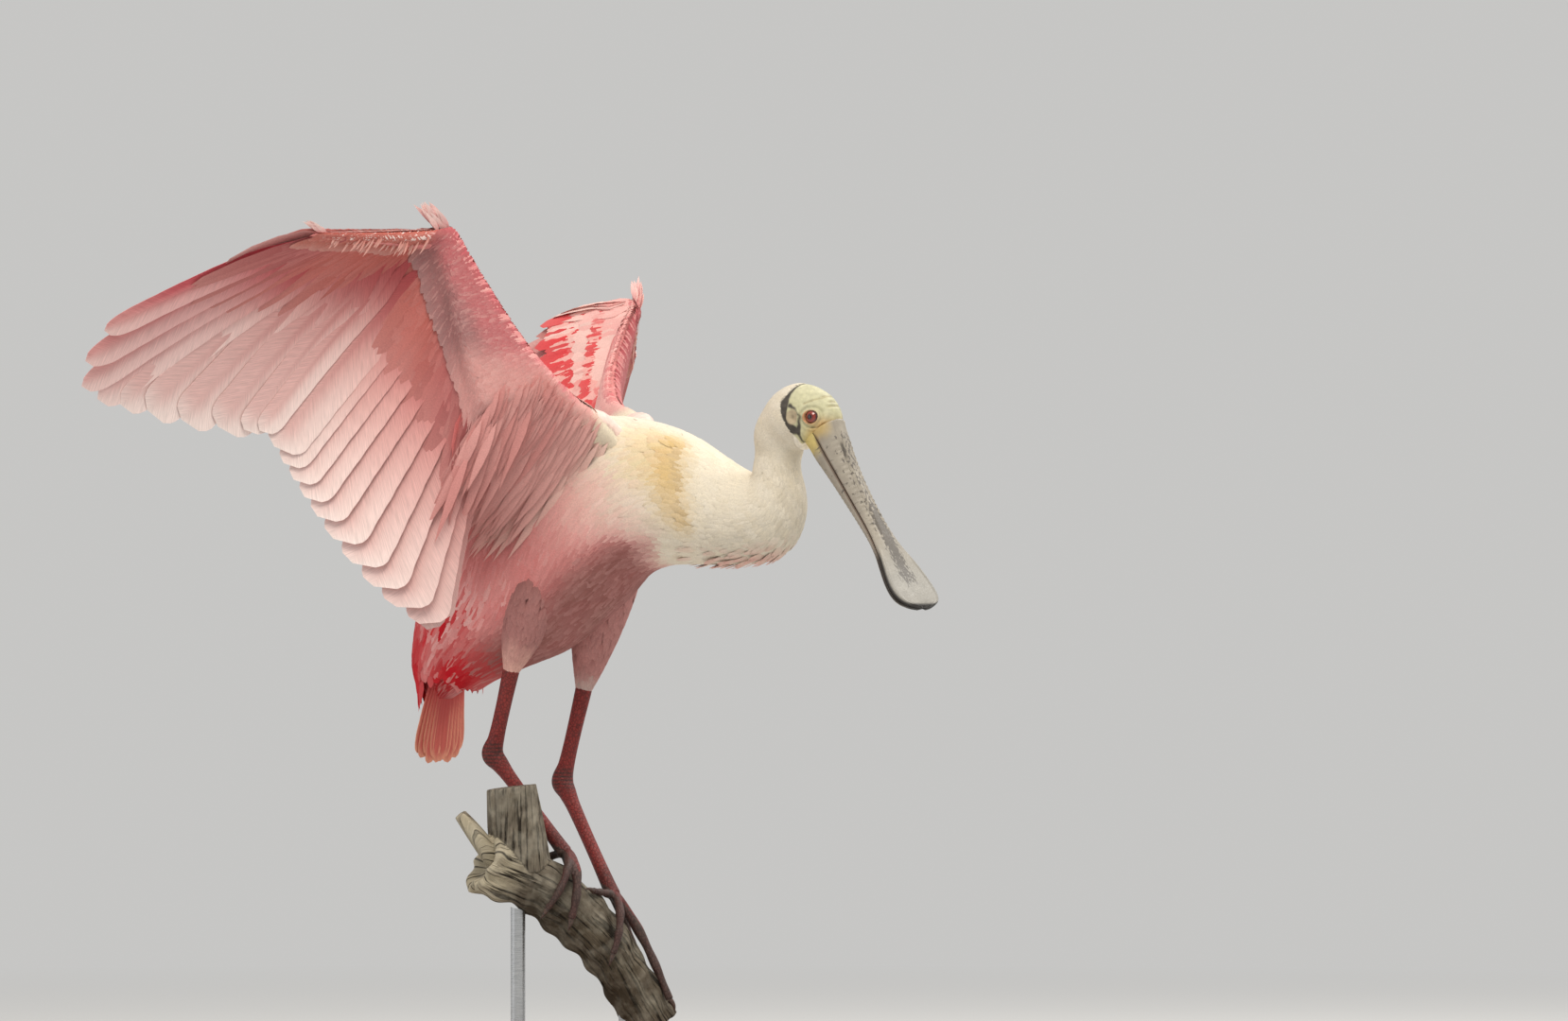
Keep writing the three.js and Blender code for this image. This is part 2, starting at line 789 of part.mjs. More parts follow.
// Trunk, neck and head in lengths that meet face to face
const LENGTHS = [
  [0, 2.6, 6],
  [2.6, 5.4, 6],
  [5.4, 8, 5],
  [8, 9, 2],
];
const [rumpRings, bellyRings, breastRings, neckRings] = LENGTHS.map((part) => trunkRings(...part, 0));
const neckBaseRings = [...neckRings, bendSection(BEND[0], 0)];
const neckBendRings = BEND.map((row) => bendSection(row, 0));
// The whole trunk, a little larger, which takes its room out of what meets it
const roomRings = LENGTHS.flatMap((part, i) => trunkRings(...part, CLEARANCE).slice(i > 0 ? 1 : 0));
const trunkRoom = [solid(closedMesh(roomRings))];

place("rump", closedMesh(spaced(rumpRings)), MATERIALS.carmine);
place("belly", closedMesh(spaced(bellyRings)), MATERIALS.pink);
place("breast", closedMesh(spaced(breastRings)), MATERIALS.pink);
place("neck_base", closedMesh(spaced(neckBaseRings)), MATERIALS.cream);
place("neck_bend", closedMesh(spaced(neckBendRings)), MATERIALS.cream);
place("neck_top", closedMesh(spaced(neckTopRings(0))), MATERIALS.cream);

// Eyes stand a little out of the head's sides
function eyeCentre(side) {
  const turn = radians(EYE_TURN);
  const x = CHIN[0] - EYE_RISE * Math.sin(turn);
  const z = CHIN[1] + EYE_RISE * Math.cos(turn);
  return turned(vector(x, side * EYE_APART, z), HEAD_TURN);
}
const eyeHoles = [1, -1].map((side) => ball(eyeCentre(side), EYE_RADIUS + CLEARANCE, 10));
const head = cut(solid(closedMesh(spaced(headRings(0)))), eyeHoles);
place("head", geometryOf(head), MATERIALS.head);
place("eye_left", geometryOf(ball(eyeCentre(1), EYE_RADIUS, 10)), MATERIALS.eye);
place("eye_right", geometryOf(ball(eyeCentre(-1), EYE_RADIUS, 10)), MATERIALS.eye);

const headGrown = solid(closedMesh(headRings(CLEARANCE)));
place("bill_upper", geometryOf(cut(solid(billHalf(true, 0)), [headGrown])), MATERIALS.bill);
place("bill_lower", geometryOf(cut(solid(billHalf(false, 0)), [headGrown])), MATERIALS.bill);

// Tail: a fan of flat feathers out of the rump
function tailShape() {
  const columns = TAIL_FEATHERS * 2;
  const rows = 3;
  const rings = [];
  for (let i = 0; i <= columns; i += 1) {
    const v = (2 * i) / columns - 1;
    const within = (i / 2) % 1;
    const notch = 1 - 0.05 * (2 * Math.abs(within - 0.5)) ** 2;
    const reach = (1 - 0.1 * v * v) * notch;
    const [front, back] = [[], []];
    for (let r = 0; r <= rows; r += 1) {
      const f = (r / rows) * reach;
      const half = (1.4 + 3 * (1 - r / rows)) / 2;
      const x = TAIL_ROOT[0] + TAIL_TIP_BACK * f - 3 * v * v;
      const y = v * THREE.MathUtils.lerp(TAIL_HALF_ROOT, TAIL_HALF_TIP, f);
      const z = TAIL_ROOT[1] - TAIL_TIP_DROP * f;
      front.push(vector(x + half, y, z));
      back.push(vector(x - half, y, z));
    }
    rings.push([...front, ...back.reverse()]);
  }
  return solid(closedMesh(rings));
}
place("tail", geometryOf(cut(tailShape(), trunkRoom)), MATERIALS.tail);

// Wings, each from the trunk outwards
function placeWing(wing) {
  const name = wing.side > 0 ? "left" : "right";
  const armGrown = solid(closedMesh(armRings(wing, ARM_START, 1, 8, CLEARANCE)));
  const handGrown = handShape(wing, CLEARANCE);
  const upperArm = solid(closedMesh(spaced(armRings(wing, ARM_START, 0.5, 5, 0))));
  const foreArm = solid(closedMesh(armRings(wing, 0.5, 1, 5, 0)));
  place(`wing_${name}_upper_arm`, geometryOf(cut(upperArm, trunkRoom)), MATERIALS.pink);
  place(`wing_${name}_forearm`, geometryOf(cut(foreArm, trunkRoom)), MATERIALS.pink);
  place(`wing_${name}_hand`, geometryOf(cut(handShape(wing, 0), [armGrown])), MATERIALS.pink);
  const outer = [armGrown, handGrown];
  place(`wing_${name}_alula`, geometryOf(cut(alula(wing), outer)), MATERIALS.cream);
  const all = [...outer, ...trunkRoom];
  const slit = 0.012;
  const fans = [
    ["primaries", 0, PRIMARIES - slit],
    ["secondaries", PRIMARIES + slit, PRIMARIES + SECONDARIES - slit],
    ["tertials", PRIMARIES + SECONDARIES + slit, FEATHERS],
  ];
  for (const [part, a, b] of fans) {
    place(`wing_${name}_${part}`, geometryOf(cut(fan(wing, a, b), all)), MATERIALS.pink);
  }
}
placeWing(WING_RIGHT);
placeWing(WING_LEFT);

// Legs
function placeLeg(leg) {
  const [thigh, cuff, ankle] = [leg.thigh, leg.cuff, leg.ankle].map((p) => vector(...p));
  const foot = footJoint(leg.name);
  const between = (a, b, t) => a.clone().lerp(b, t);
  const thighStations = (grow) => [
    [thigh, THIGH_RADIUS + grow],
    [between(thigh, cuff, 0.48), THIGH_RADIUS * 0.76 + grow],
    [between(thigh, cuff, 0.8), THIGH_RADIUS * 0.5 + grow],
    [cuff, leg.cuffRadius * 0.8 + grow],
  ];
  const shankStations = (grow) => [
    [between(thigh, cuff, 0.9), SHANK_RADIUS * 1.1 + grow],
    [cuff, SHANK_RADIUS * 1.15 + grow],
    [between(cuff, ankle, 0.5), SHANK_RADIUS + grow],
    [between(cuff, ankle, 0.85), SHANK_RADIUS * 1.1 + grow],
  ];
  const upper = solid(limb(thighStations(0), 12));
  const upperGrown = solid(limb(thighStations(CLEARANCE), 12));
  place(`thigh_${leg.name}`, geometryOf(cut(upper, trunkRoom)), MATERIALS.pink);
  const tarsus = solid(
    limb(
      [
        [between(cuff, ankle, 0.85 + 0.006), SHANK_RADIUS * 1.1],
        [ankle, ANKLE_RADIUS],
        [between(ankle, foot, 0.14), TARSUS_RADIUS * 1.25],
        [between(ankle, foot, 0.5), TARSUS_RADIUS],
        [between(ankle, foot, 0.97), TARSUS_RADIUS * 1.15],
      ],
      10,
    ),
  );
  const shank = cut(solid(limb(shankStations(0), 10)), [upperGrown, ...trunkRoom]);
  place(`shank_${leg.name}`, geometryOf(shank), MATERIALS.leg);
  const tarsusGrown = solid(
    limb(
      [
        [between(ankle, foot, 0.5), TARSUS_RADIUS + CLEARANCE],
        [between(ankle, foot, 0.975), TARSUS_RADIUS * 1.15 + CLEARANCE],
      ],
      12,
    ),
  );
  place(`tarsus_${leg.name}`, geometryOf(tarsus), MATERIALS.leg);
  place(`foot_${leg.name}`, geometryOf(cut(footShape(leg), [tarsusGrown, perchGrown])), MATERIALS.claw);
  for (const [toe, along, turn, radius] of TOES[leg.name]) {
    place(`claw_${leg.name}_${toe}`, geometryOf(claw(leg.name, along, turn, radius)), MATERIALS.claw);
  }
}
const perchGrown = branch(CLEARANCE);
placeLeg(LEG_RIGHT);
placeLeg(LEG_LEFT);

place("perch", geometryOf(branch(0)), MATERIALS.bark);

// Stand: a flat base with rounded corners, and two rods up to the branch
function baseShape() {
  const outline = new THREE.Shape();
  const [x, y, r] = [BASE_LENGTH / 2, BASE_WIDTH / 2, BASE_CORNER];
  outline.absarc(x - r, y - r, r, 0, Math.PI / 2);
  outline.absarc(-x + r, y - r, r, Math.PI / 2, Math.PI);
  outline.absarc(-x + r, -y + r, r, Math.PI, 1.5 * Math.PI);
  outline.absarc(x - r, -y + r, r, 1.5 * Math.PI, 2 * Math.PI);
  return new THREE.ExtrudeGeometry(outline, { depth: BASE_HEIGHT, bevelEnabled: false, curveSegments: 6 });
}

function rod(along) {
  const foot = branchCentre(along);
  const bottom = BASE_HEIGHT + CLEARANCE;
  const height = foot.z - bottom;
  const shape = new THREE.CylinderGeometry(ROD_RADIUS, ROD_RADIUS, height, 16);
  shape.rotateX(Math.PI / 2);
  shape.translate(foot.x, foot.y, bottom + height / 2);
  return cut(solid(weld(shape)), [perchGrown]);
}

group.position.set(SHOULDER_X, 0, 0);
for (const [name, along] of Object.entries(ROD_PLACES)) {
  place(`stand_rod_${name}`, geometryOf(rod(along)), MATERIALS.metal);
}
const base = new THREE.Group();
base.position.x = -SHOULDER_X;
place("stand_base", weld(baseShape()), MATERIALS.wood);
base.add(group.children[group.children.length - 1]);
const model = new THREE.Group();
model.add(group, base);

export default model;
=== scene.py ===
"""A roseate spoonbill perched with both wings held open: skin, feathers, bill, eyes and branch.

Lengths are millimetres in the bird's own frame until a mesh is made, and then metres in the row frame.
+X is the way the bird faces, +Y is its left and +Z is up.
"""

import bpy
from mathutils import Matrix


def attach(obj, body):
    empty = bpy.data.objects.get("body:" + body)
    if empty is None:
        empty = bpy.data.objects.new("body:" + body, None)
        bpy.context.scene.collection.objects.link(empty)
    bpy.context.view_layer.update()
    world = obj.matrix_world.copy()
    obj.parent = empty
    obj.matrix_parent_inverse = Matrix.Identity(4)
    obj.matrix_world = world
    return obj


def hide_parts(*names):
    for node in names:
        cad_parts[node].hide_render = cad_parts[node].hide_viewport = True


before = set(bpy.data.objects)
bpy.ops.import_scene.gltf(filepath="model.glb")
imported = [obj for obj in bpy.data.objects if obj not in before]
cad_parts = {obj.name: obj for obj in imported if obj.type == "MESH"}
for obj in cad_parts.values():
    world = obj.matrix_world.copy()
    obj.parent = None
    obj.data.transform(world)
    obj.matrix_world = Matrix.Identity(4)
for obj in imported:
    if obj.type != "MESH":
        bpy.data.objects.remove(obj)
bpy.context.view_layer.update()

import math

import bpy
import numpy as np

# Driving dimensions, as in the part
MM = 0.001
SHOULDER_X = 22.0
SHOULDER_HEIGHT = 535.0
SEED = 7

# Tail root to neck root: x, height, heading of the axis, half depth, half width
TRUNK = [
    [-146, 318, 72, 14, 22], [-136, 340, 66, 32, 36], [-112, 372, 56, 53, 47], [-78, 406, 44, 70, 57],
    [-42, 441, 31, 78, 63], [-5, 466, 20, 77, 65], [32, 480, 7, 67, 59], [70, 480, -6, 57, 48],
    [104, 471, -12, 47, 40], [130, 464, -7, 40, 35],
]
# Where the coverts over and under the tail lie, in place of the trunk's last section
TAIL_SLEEVE = [[-142, 268, 83, 6, 44], [-140, 296, 82, 11, 38], [-137, 322, 76, 24, 34]]
BEND_CORNER = (146, 499)
BEND = [[0, 37, 33], [22, 36, 31], [45, 32, 28], [68, 26, 24], [88, 22, 21]]
NECK_TOP = [168, 512, 88, 20.5, 19]
CHIN = (193, 517)
HEAD = [
    [86, 22, 19], [66, 24, 20.5], [44, 24.8, 21.5], [22, 26.4, 22], [0, 27.4, 21.5], [-18, 27, 20.5],
    [-34, 26.4, 18], [-47, 25.2, 16.4], [-59, 23.6, 15],
]
HEAD_TURN = 12
HEAD_PIVOT_X = 168
# How deep the coat is over the skin. Places along the body count as the sections above do:
# trunk 0 to 9, bend of the neck to 10, neck top to 11, head to 12
COAT_DEPTH = [
    [-3, 2], [0, 5], [2, 7], [4, 8], [7, 8], [9, 6], [10, 4.6], [10.6, 3.6], [11, 2.6], [11.3, 1.2], [11.5, 0],
    [12, 0],
]

BILL_LENGTH = 176
BILL_START = (213.5, 531)
BILL_HEADING = (-57.5, -48)
BILL = [
    [0, 15.8, 25, 18], [0.1, 13.6, 19, 14.5], [0.25, 12, 14, 11], [0.42, 11.4, 11, 8.5],
    [0.56, 12.4, 9, 7], [0.66, 16, 7.5, 6], [0.76, 22, 6, 5], [0.85, 26.4, 5, 4.4], [0.92, 27, 4.4, 4],
    [0.965, 23, 3.6, 3.2], [0.99, 14, 2.6, 2.2], [1, 6, 1.6, 1.4],
]
EYE_RADIUS = 6.2
EYE_TURN = -39.5
EYE_RISE = 36.2
EYE_APART = 12.8

PRIMARIES, SECONDARIES, TERTIALS = 10, 12, 6
FEATHERS = PRIMARIES + SECONDARIES + TERTIALS
WING_RIGHT = {
    "name": "right", "side": -1,
    "shoulder": [0, -44, 0], "elbow": [-20, -158, 23], "wrist": [-50, -168, 156], "handEnd": [-105, -266, 157],
    "edgeStart": [38, -42, 10], "edgeEnd": [-38, -167, 165], "edgeSag": [8, 0, -32],
    "feathers": [
        [0, -0.618, -0.705, -0.36, 190], [1, -0.628, -0.67, -0.405, 208], [2, -0.637, -0.628, -0.46, 236],
        [3.5, -0.643, -0.572, -0.518, 252], [5.5, -0.643, -0.5, -0.585, 240],
        [8, -0.626, -0.32, -0.71, 214], [10.5, -0.585, -0.305, -0.752, 210],
        [14.5, -0.51, -0.21, -0.832, 206], [18, -0.3, -0.13, -0.944, 211], [20, -0.16, -0.08, -0.984, 208],
        [22, -0.2, -0.02, -0.98, 188], [25, -0.56, 0.05, -0.83, 176], [28, -0.76, 0.12, -0.64, 150],
    ],
}
WING_LEFT = {
    "name": "left", "side": 1,
    "shoulder": [0, 44, 0], "elbow": [-70, 130, -25], "wrist": [-57, 168, 103], "handEnd": [-111, 263, 64],
    "edgeStart": [34, 42, 10], "edgeEnd": [-53, 170, 108], "edgeSag": [-30, -4, -22],
    "feathers": [
        [0, -0.45, 0.64, -0.62, 190], [1, -0.47, 0.62, -0.63, 208], [2, -0.49, 0.59, -0.64, 236],
        [3.5, -0.56, 0.53, -0.61, 252], [5.5, -0.68, 0.44, -0.5, 240], [8, -0.84, 0.3, -0.31, 214],
        [10.5, -0.93, 0.19, -0.23, 210], [14.5, -0.91, 0.12, -0.38, 206], [18, -0.76, 0.05, -0.65, 211],
        [20, -0.69, 0.02, -0.72, 206], [22, -0.65, -0.02, -0.76, 186], [25, -0.66, -0.06, -0.74, 172],
        [28, -0.72, -0.12, -0.66, 150],
    ],
}
CAMBER, CAMBER_OUTER = 0.07, 0.03
ARM_START = -0.24
ELBOW_AT = 0.42
ARM_COAT, HAND_COAT, THIGH_COAT = 3.0, 2.2, 4.5

TAIL_ROOT = (-134, 352)
TAIL_TIP_DROP = 88
TAIL_TIP_BACK = -12
TAIL_HALF_ROOT, TAIL_HALF_TIP = 16, 46
TAIL_FEATHERS = 12

LEGS = {
    "right": {"thigh": [-32, -30, 428], "cuff": [-58, -36, 342], "ankle": [-80, -29, 271]},
    "left": {"thigh": [-4, 30, 428], "cuff": [-31.5, 38, 326], "ankle": [-47, 29, 248]},
}
CUFF_RADIUS = 11
THIGH_RADIUS = 30
SHANK_RADIUS = 6.2
ANKLE_RADIUS = 9
TARSUS_RADIUS = 5.4

BRANCH_COURSE = [[-62, -73, 184], [-29, -35, 162], [1, 0, 123], [17, 20, 89], [34, 38, 50]]
BRANCH_RADIUS = [27, 25.5, 24.5, 23, 21]
FORK_ALONG = 34
STUB_LEAN = np.array([-4.0, -3.0, 42.0])
STUB_RADIUS = 26
# Toe: reach along the branch from the foot, turn round it, radius
TOES = {
    "left": [("middle", 88, 46, 4.6), ("outer", 62, -38, 4.2), ("inner", 26, 104, 4), ("hind", -19, 44, 3.8)],
    "right": [("middle", 26, 112, 4.6), ("outer", 40, -66, 4.2), ("inner", 4, 124, 4), ("hind", -12, -76, 3.8)],
}
FOOT_ALONG = {"left": 102, "right": 55}
FOOT_LIFT = 9
CLAW_LENGTH = 11

rng = np.random.default_rng(SEED)


# Small tools
def unit(v):
    return v / np.maximum(np.linalg.norm(v, axis=-1, keepdims=True), 1e-9)


def square_to(way, axis):
    """Unit vectors along way less its part along the unit vectors axis."""
    return unit(way - axis * (way * axis).sum(-1, keepdims=True))


def ramp(low, high, x):
    """Smooth step: 0 up to low, 1 from high, and 3t^2 - 2t^3 between."""
    t = np.clip((np.asarray(x, float) - low) / (high - low), 0, 1)
    return t * t * (3 - 2 * t)


def fall(low, high, x):
    return 1 - ramp(low, high, x)


def colour(code):
    """Linear red, green and blue of a six-figure colour."""
    part = np.array([int(code[i : i + 2], 16) for i in (0, 2, 4)]) / 255
    return np.where(part <= 0.04045, part / 12.92, ((part + 0.055) / 1.055) ** 2.4)


def bell(x, middle, width):
    """1 at the middle, and exp(-((x - middle) / width)^2) beside it."""
    return np.exp(-(((x - middle) / width) ** 2))


def mixed(a, b, t):
    """a where t is 0 and b where t is 1. Either may be a six-figure colour."""
    a, b = (colour(end) if isinstance(end, str) else end for end in (a, b))
    return a + (b - a) * np.asarray(t)[..., None]


def rows_at(rows, q):
    """Smooth values at q of rows [q, a, b, ...]: cubic pieces whose slopes come from both neighbours."""
    rows = np.asarray(rows, float)
    q = np.clip(np.asarray(q, float), rows[0, 0], rows[-1, 0])
    i = np.clip(np.searchsorted(rows[:, 0], q, side="right") - 1, 0, len(rows) - 2)
    index = np.arange(len(rows))
    before, after = np.maximum(index - 1, 0), np.minimum(index + 1, len(rows) - 1)
    slope = (rows[after] - rows[before]) / (rows[after, :1] - rows[before, :1])
    span = (rows[i + 1, 0] - rows[i, 0])[..., None]
    t = (q - rows[i, 0])[..., None] / span
    value = (2 * t**3 - 3 * t**2 + 1) * rows[i] + (t**3 - 2 * t**2 + t) * span * slope[i]
    value = value + (3 * t**2 - 2 * t**3) * rows[i + 1] + (t**3 - t**2) * span * slope[i + 1]
    return value[..., 1:]


def numbered(rows, start=0):
    return [[start + i, *row] for i, row in enumerate(rows)]


def wave_noise(points, scale, seed, octaves=3):
    """Soft noise of about -1 to 1: a sum of sines along fixed random directions, finer in each octave."""
    own = np.random.default_rng(seed)
    total = np.zeros(points.shape[:-1])
    for octave in range(octaves):
        for _ in range(5):
            way = own.normal(size=3)
            way *= 2 * math.pi * 2**octave / (scale * np.linalg.norm(way))
            total += np.sin(points @ way + own.uniform(0, 6.28)) / 2**octave
    return total / (5 * 0.5 * octaves)


def cloud(points, scale, seed):
    return 0.5 + 0.5 * wave_noise(points, scale, seed)


def around(sides):
    """Angles round a ring, as one row."""
    return np.arange(sides)[None] / sides * 2 * math.pi


# Meshes
def grid_faces(rows, columns, closed=True):
    """Quads of a grid of rows by columns; closed joins the last column to the first."""
    r = np.arange(rows - 1)[:, None] * columns
    c = np.arange(columns if closed else columns - 1)[None, :]
    n = (c + 1) % columns
    return np.stack([r + c, r + n, r + columns + n, r + columns + c], -1).reshape(-1, 4)


def capped(grid):
    """Closed tube from rings (rows, sides, 3): quads between rings and a fan to the middle of each end."""
    rows, sides = grid.shape[:2]
    points = np.concatenate([grid.reshape(-1, 3), grid[:1].mean(1), grid[-1:].mean(1)])
    k = np.arange(sides)
    n = (k + 1) % sides
    first = np.stack([n, k, np.full(sides, rows * sides)], -1)
    base = (rows - 1) * sides
    last = np.stack([base + k, base + n, np.full(sides, rows * sides + 1)], -1)
    faces = [grid_faces(rows, sides), first, last]
    return points, outward(points, faces)


def outward(points, faces):
    """The faces, turned over as a whole if the volume that they close comes out negative."""
    total = 0.0
    for f in faces:
        a = points[f[:, 0]]
        for k in range(1, f.shape[1] - 1):
            total += np.einsum("ij,ij->i", a, np.cross(points[f[:, k]], points[f[:, k + 1]])).sum()
    return [f[:, ::-1] for f in faces] if total < 0 else faces


def joined(parts):
    """Several (points, faces) as one."""
    points, quads, tris, start = [], [], [], 0
    for p, faces in parts:
        points.append(p)
        for f in faces:
            (quads if f.shape[1] == 4 else tris).append(f + start)
        start += len(p)
    out = [np.concatenate(group) for group in (quads, tris) if group]
    return np.concatenate(points), out


def mesh_of(name, points, faces):
    """Mesh in metres in the row frame from points in millimetres in the bird's frame."""
    mesh = bpy.data.meshes.new(name)
    placed = (np.asarray(points, float) + [SHOULDER_X, 0, 0]) * MM
    corners = np.concatenate([f.ravel() for f in faces]).astype(np.int32)
    sizes = np.concatenate([np.full(len(f), f.shape[1]) for f in faces])
    mesh.vertices.add(len(placed))
    mesh.vertices.foreach_set("co", placed.astype(np.float32).ravel())
    mesh.loops.add(len(corners))
    mesh.loops.foreach_set("vertex_index", corners)
    mesh.polygons.add(len(sizes))
    mesh.polygons.foreach_set("loop_start", (np.cumsum(sizes) - sizes).astype(np.int32))
    mesh.polygons.foreach_set("use_smooth", np.ones(len(sizes), bool))
    mesh.update(calc_edges=True)
    mesh.validate()
    return mesh


def paint(mesh, name, values):
    """Linear colour at each vertex."""
    layer = mesh.color_attributes.new(name, "FLOAT_COLOR", "POINT")
    rgba = np.ones((len(values), 4), np.float32)
    rgba[:, :3] = np.clip(values, 0, 1)
    layer.data.foreach_set("color", rgba.ravel())


def note(mesh, name, values):
    """One number at each vertex."""
    layer = mesh.attributes.new(name, "FLOAT", "POINT")
    layer.data.foreach_set("value", np.asarray(values, np.float32))


def read(items, key, width=1, kind=np.int32):
    """One value, or width values, of each item as an array."""
    values = np.zeros(len(items) * width, kind)
    items.foreach_get(key, values)
    return values


def linked(name, data):
    obj = bpy.data.objects.new(name, data)
    bpy.context.scene.collection.objects.link(obj)
    return obj


def unwrap(mesh, name, places):
    """UV map from a place given for each vertex."""
    layer = mesh.uv_layers.new(name=name)
    layer.data.foreach_set("uv", np.asarray(places, np.float32)[read(mesh.loops, "vertex_index")].ravel())


def crease(mesh, rim):
    """Keeps the shading of a vane's two sides apart: edges between two rim vertices are sharp."""
    ends = read(mesh.edges, "vertices", 2)
    layer = mesh.attributes.new("sharp_edge", "BOOLEAN", "EDGE")
    layer.data.foreach_set("value", rim[ends.reshape(-1, 2)].all(1))


def piece(name, points, faces, material, replaces=(), tint=None, maps=None, notes=None, rim=None):
    """Object at the origin that rides on the one body, with its colours, numbers and UV maps by vertex."""
    mesh = mesh_of(name, points, faces)
    if rim is not None:
        crease(mesh, rim)
    if tint is not None:
        paint(mesh, "tint", tint)
    for key, values in (notes or {}).items():
        note(mesh, key, values)
    for key, places in (maps or {}).items():
        unwrap(mesh, key, places)
    mesh.materials.append(material)
    obj = linked(name, mesh)
    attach(obj, "root")
    if replaces:
        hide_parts(*replaces)
    return obj


# Surfaces that the coat is laid on
def with_normals(points, closed):
    """Grid (rows, columns, 6) of points and unit normals: the cross product of the two differences."""
    along = np.gradient(points, axis=0)
    if closed:
        around = (np.roll(points, -1, 1) - np.roll(points, 1, 1)) / 2
    else:
        around = np.gradient(points, axis=1)
    return np.concatenate([points, unit(np.cross(along, around))], -1)


def facing_out(points):
    """Grid of a closed tube with normals that face away from its middle line."""
    grid = with_normals(points, True)
    away = points - points.mean(1, keepdims=True)
    grid[..., 3:] *= np.sign((away * grid[..., 3:]).sum(-1).mean())
    return grid


def sample(grid, u, v, closed):
    """Points and normals at fractional row u and column v, straight on past the ends of the rows."""
    rows, columns = grid.shape[:2]
    i = np.clip(np.floor(u).astype(int), 0, rows - 2)
    fu = (u - i)[..., None]
    if closed:
        j = np.floor(v).astype(int)
        fv = (v - j)[..., None]
        j, k = j % columns, (j + 1) % columns
    else:
        j = np.clip(np.floor(v).astype(int), 0, columns - 2)
        fv = (v - j)[..., None]
        k = j + 1
    low = grid[i, j] * (1 - fv) + grid[i, k] * fv
    high = grid[i + 1, j] * (1 - fv) + grid[i + 1, k] * fv
    value = low * (1 - fu) + high * fu
    return value[..., :3], unit(value[..., 3:])


# The body as one tube, tail root to bill
BODY_SIDES = 160


def turned(points, yaw):
    """Points turned to the bird's right by yaw degrees about an upright line through the neck's top."""
    angle = np.radians(yaw)
    dx = points[..., 0] - HEAD_PIVOT_X
    x = HEAD_PIVOT_X + dx * np.cos(angle) + points[..., 1] * np.sin(angle)
    y = -dx * np.sin(angle) + points[..., 1] * np.cos(angle)
    return np.stack([x, y, points[..., 2]], -1)


def body_rows(first, per_trunk):
    """Sections of the body: place along it, x, height, heading, half depth, half width and yaw."""
    keys = numbered(first, 1 - len(first)) + numbered(TRUNK[1:], 1)
    place = np.linspace(keys[0][0], 9, int((9 - keys[0][0]) * per_trunk) + 1)
    rows = [np.column_stack([place, rows_at(keys, place)])]
    turn = np.linspace(0, 88, 23)[1:]
    bend = np.column_stack([9 + turn / 88, np.zeros((len(turn), 2)), turn, rows_at(BEND, turn)])
    bend[:, 1] = BEND_CORNER[0] + bend[:, 4] * np.sin(np.radians(turn))
    bend[:, 2] = BEND_CORNER[1] - bend[:, 4] * np.cos(np.radians(turn))
    rows.append(bend)
    turn = np.linspace(86, -59, 150)
    keys = [[-row[0], *row[1:]] for row in HEAD]
    head = np.column_stack([11 + (86 - turn) / 145, np.zeros((len(turn), 2)), turn, rows_at(keys, -turn)])
    head[:, 1] = CHIN[0] - head[:, 4] * np.sin(np.radians(turn))
    head[:, 2] = CHIN[1] + head[:, 4] * np.cos(np.radians(turn))
    neck_keys = numbered([list(bend[-1, 1:]), NECK_TOP, list(head[0, 1:])])
    neck_at = np.linspace(0, 2, 15)[1:-1]
    rows.append(np.column_stack([10 + neck_at / 2, rows_at(neck_keys, neck_at)]))
    rows.append(head)
    rows = np.concatenate(rows)
    yaw = HEAD_TURN * ramp(0, 66, 86 - rows[:, 3]) * (rows[:, 0] >= HEAD_FROM)
    return np.column_stack([rows, yaw])


THROAT_ROUND = 2.5
HEAD_FROM = 11.0
BILL_STEP = 1.7


def body_grid(rows, inset):
    """Rings: ellipses across the axis, less the inset. Over the chin, where all rings would meet in a
    point, each keeps THROAT_ROUND from it. The rings are eased along the neck."""
    place, x, z, heading, depth, width, yaw = (column[:, None] for column in rows.T)
    angle = (np.arange(BODY_SIDES) + 0.5) / BODY_SIDES * 2 * math.pi
    turn = np.radians(heading)
    drop = inset[:, None]
    rise = (depth - drop) * np.cos(angle)
    rise = rise + np.where(place >= HEAD_FROM, THROAT_ROUND, 0.0) * (1 - np.cos(angle)) / 2
    across = (width - drop) * np.sin(angle)
    points = np.stack([x - rise * np.sin(turn), across, z + rise * np.cos(turn)], -1)
    eased = points.copy()
    for _ in range(10):
        eased[1:-1] = (eased[:-2] + 2 * eased[1:-1] + eased[2:]) / 4
    share = (ramp(7.6, 8.6, rows[:, 0]) * fall(11.05, 11.2, rows[:, 0]))[:, None, None]
    return points + (eased - points) * share


def head_places(points):
    """Places on the head as measured from the chin: forwards, upwards and out to the side."""
    return points[..., 0] - CHIN[0], points[..., 2] - CHIN[1], np.abs(points[..., 1])


def path_distance(a, b, path):
    """Least distance from (a, b) to a chain of points [a, b, half width], less the half width there."""
    path = np.asarray(path, float)
    best = np.full(np.shape(a), 1e9)
    for p, q in zip(path[:-1], path[1:]):
        step = q[:2] - p[:2]
        t = np.clip(((a - p[0]) * step[0] + (b - p[1]) * step[1]) / (step @ step), 0, 1)
        away = np.hypot(a - p[0] - t * step[0], b - p[1] - t * step[1])
        best = np.minimum(best, away - (p[2] + t * (q[2] - p[2])))
    return best


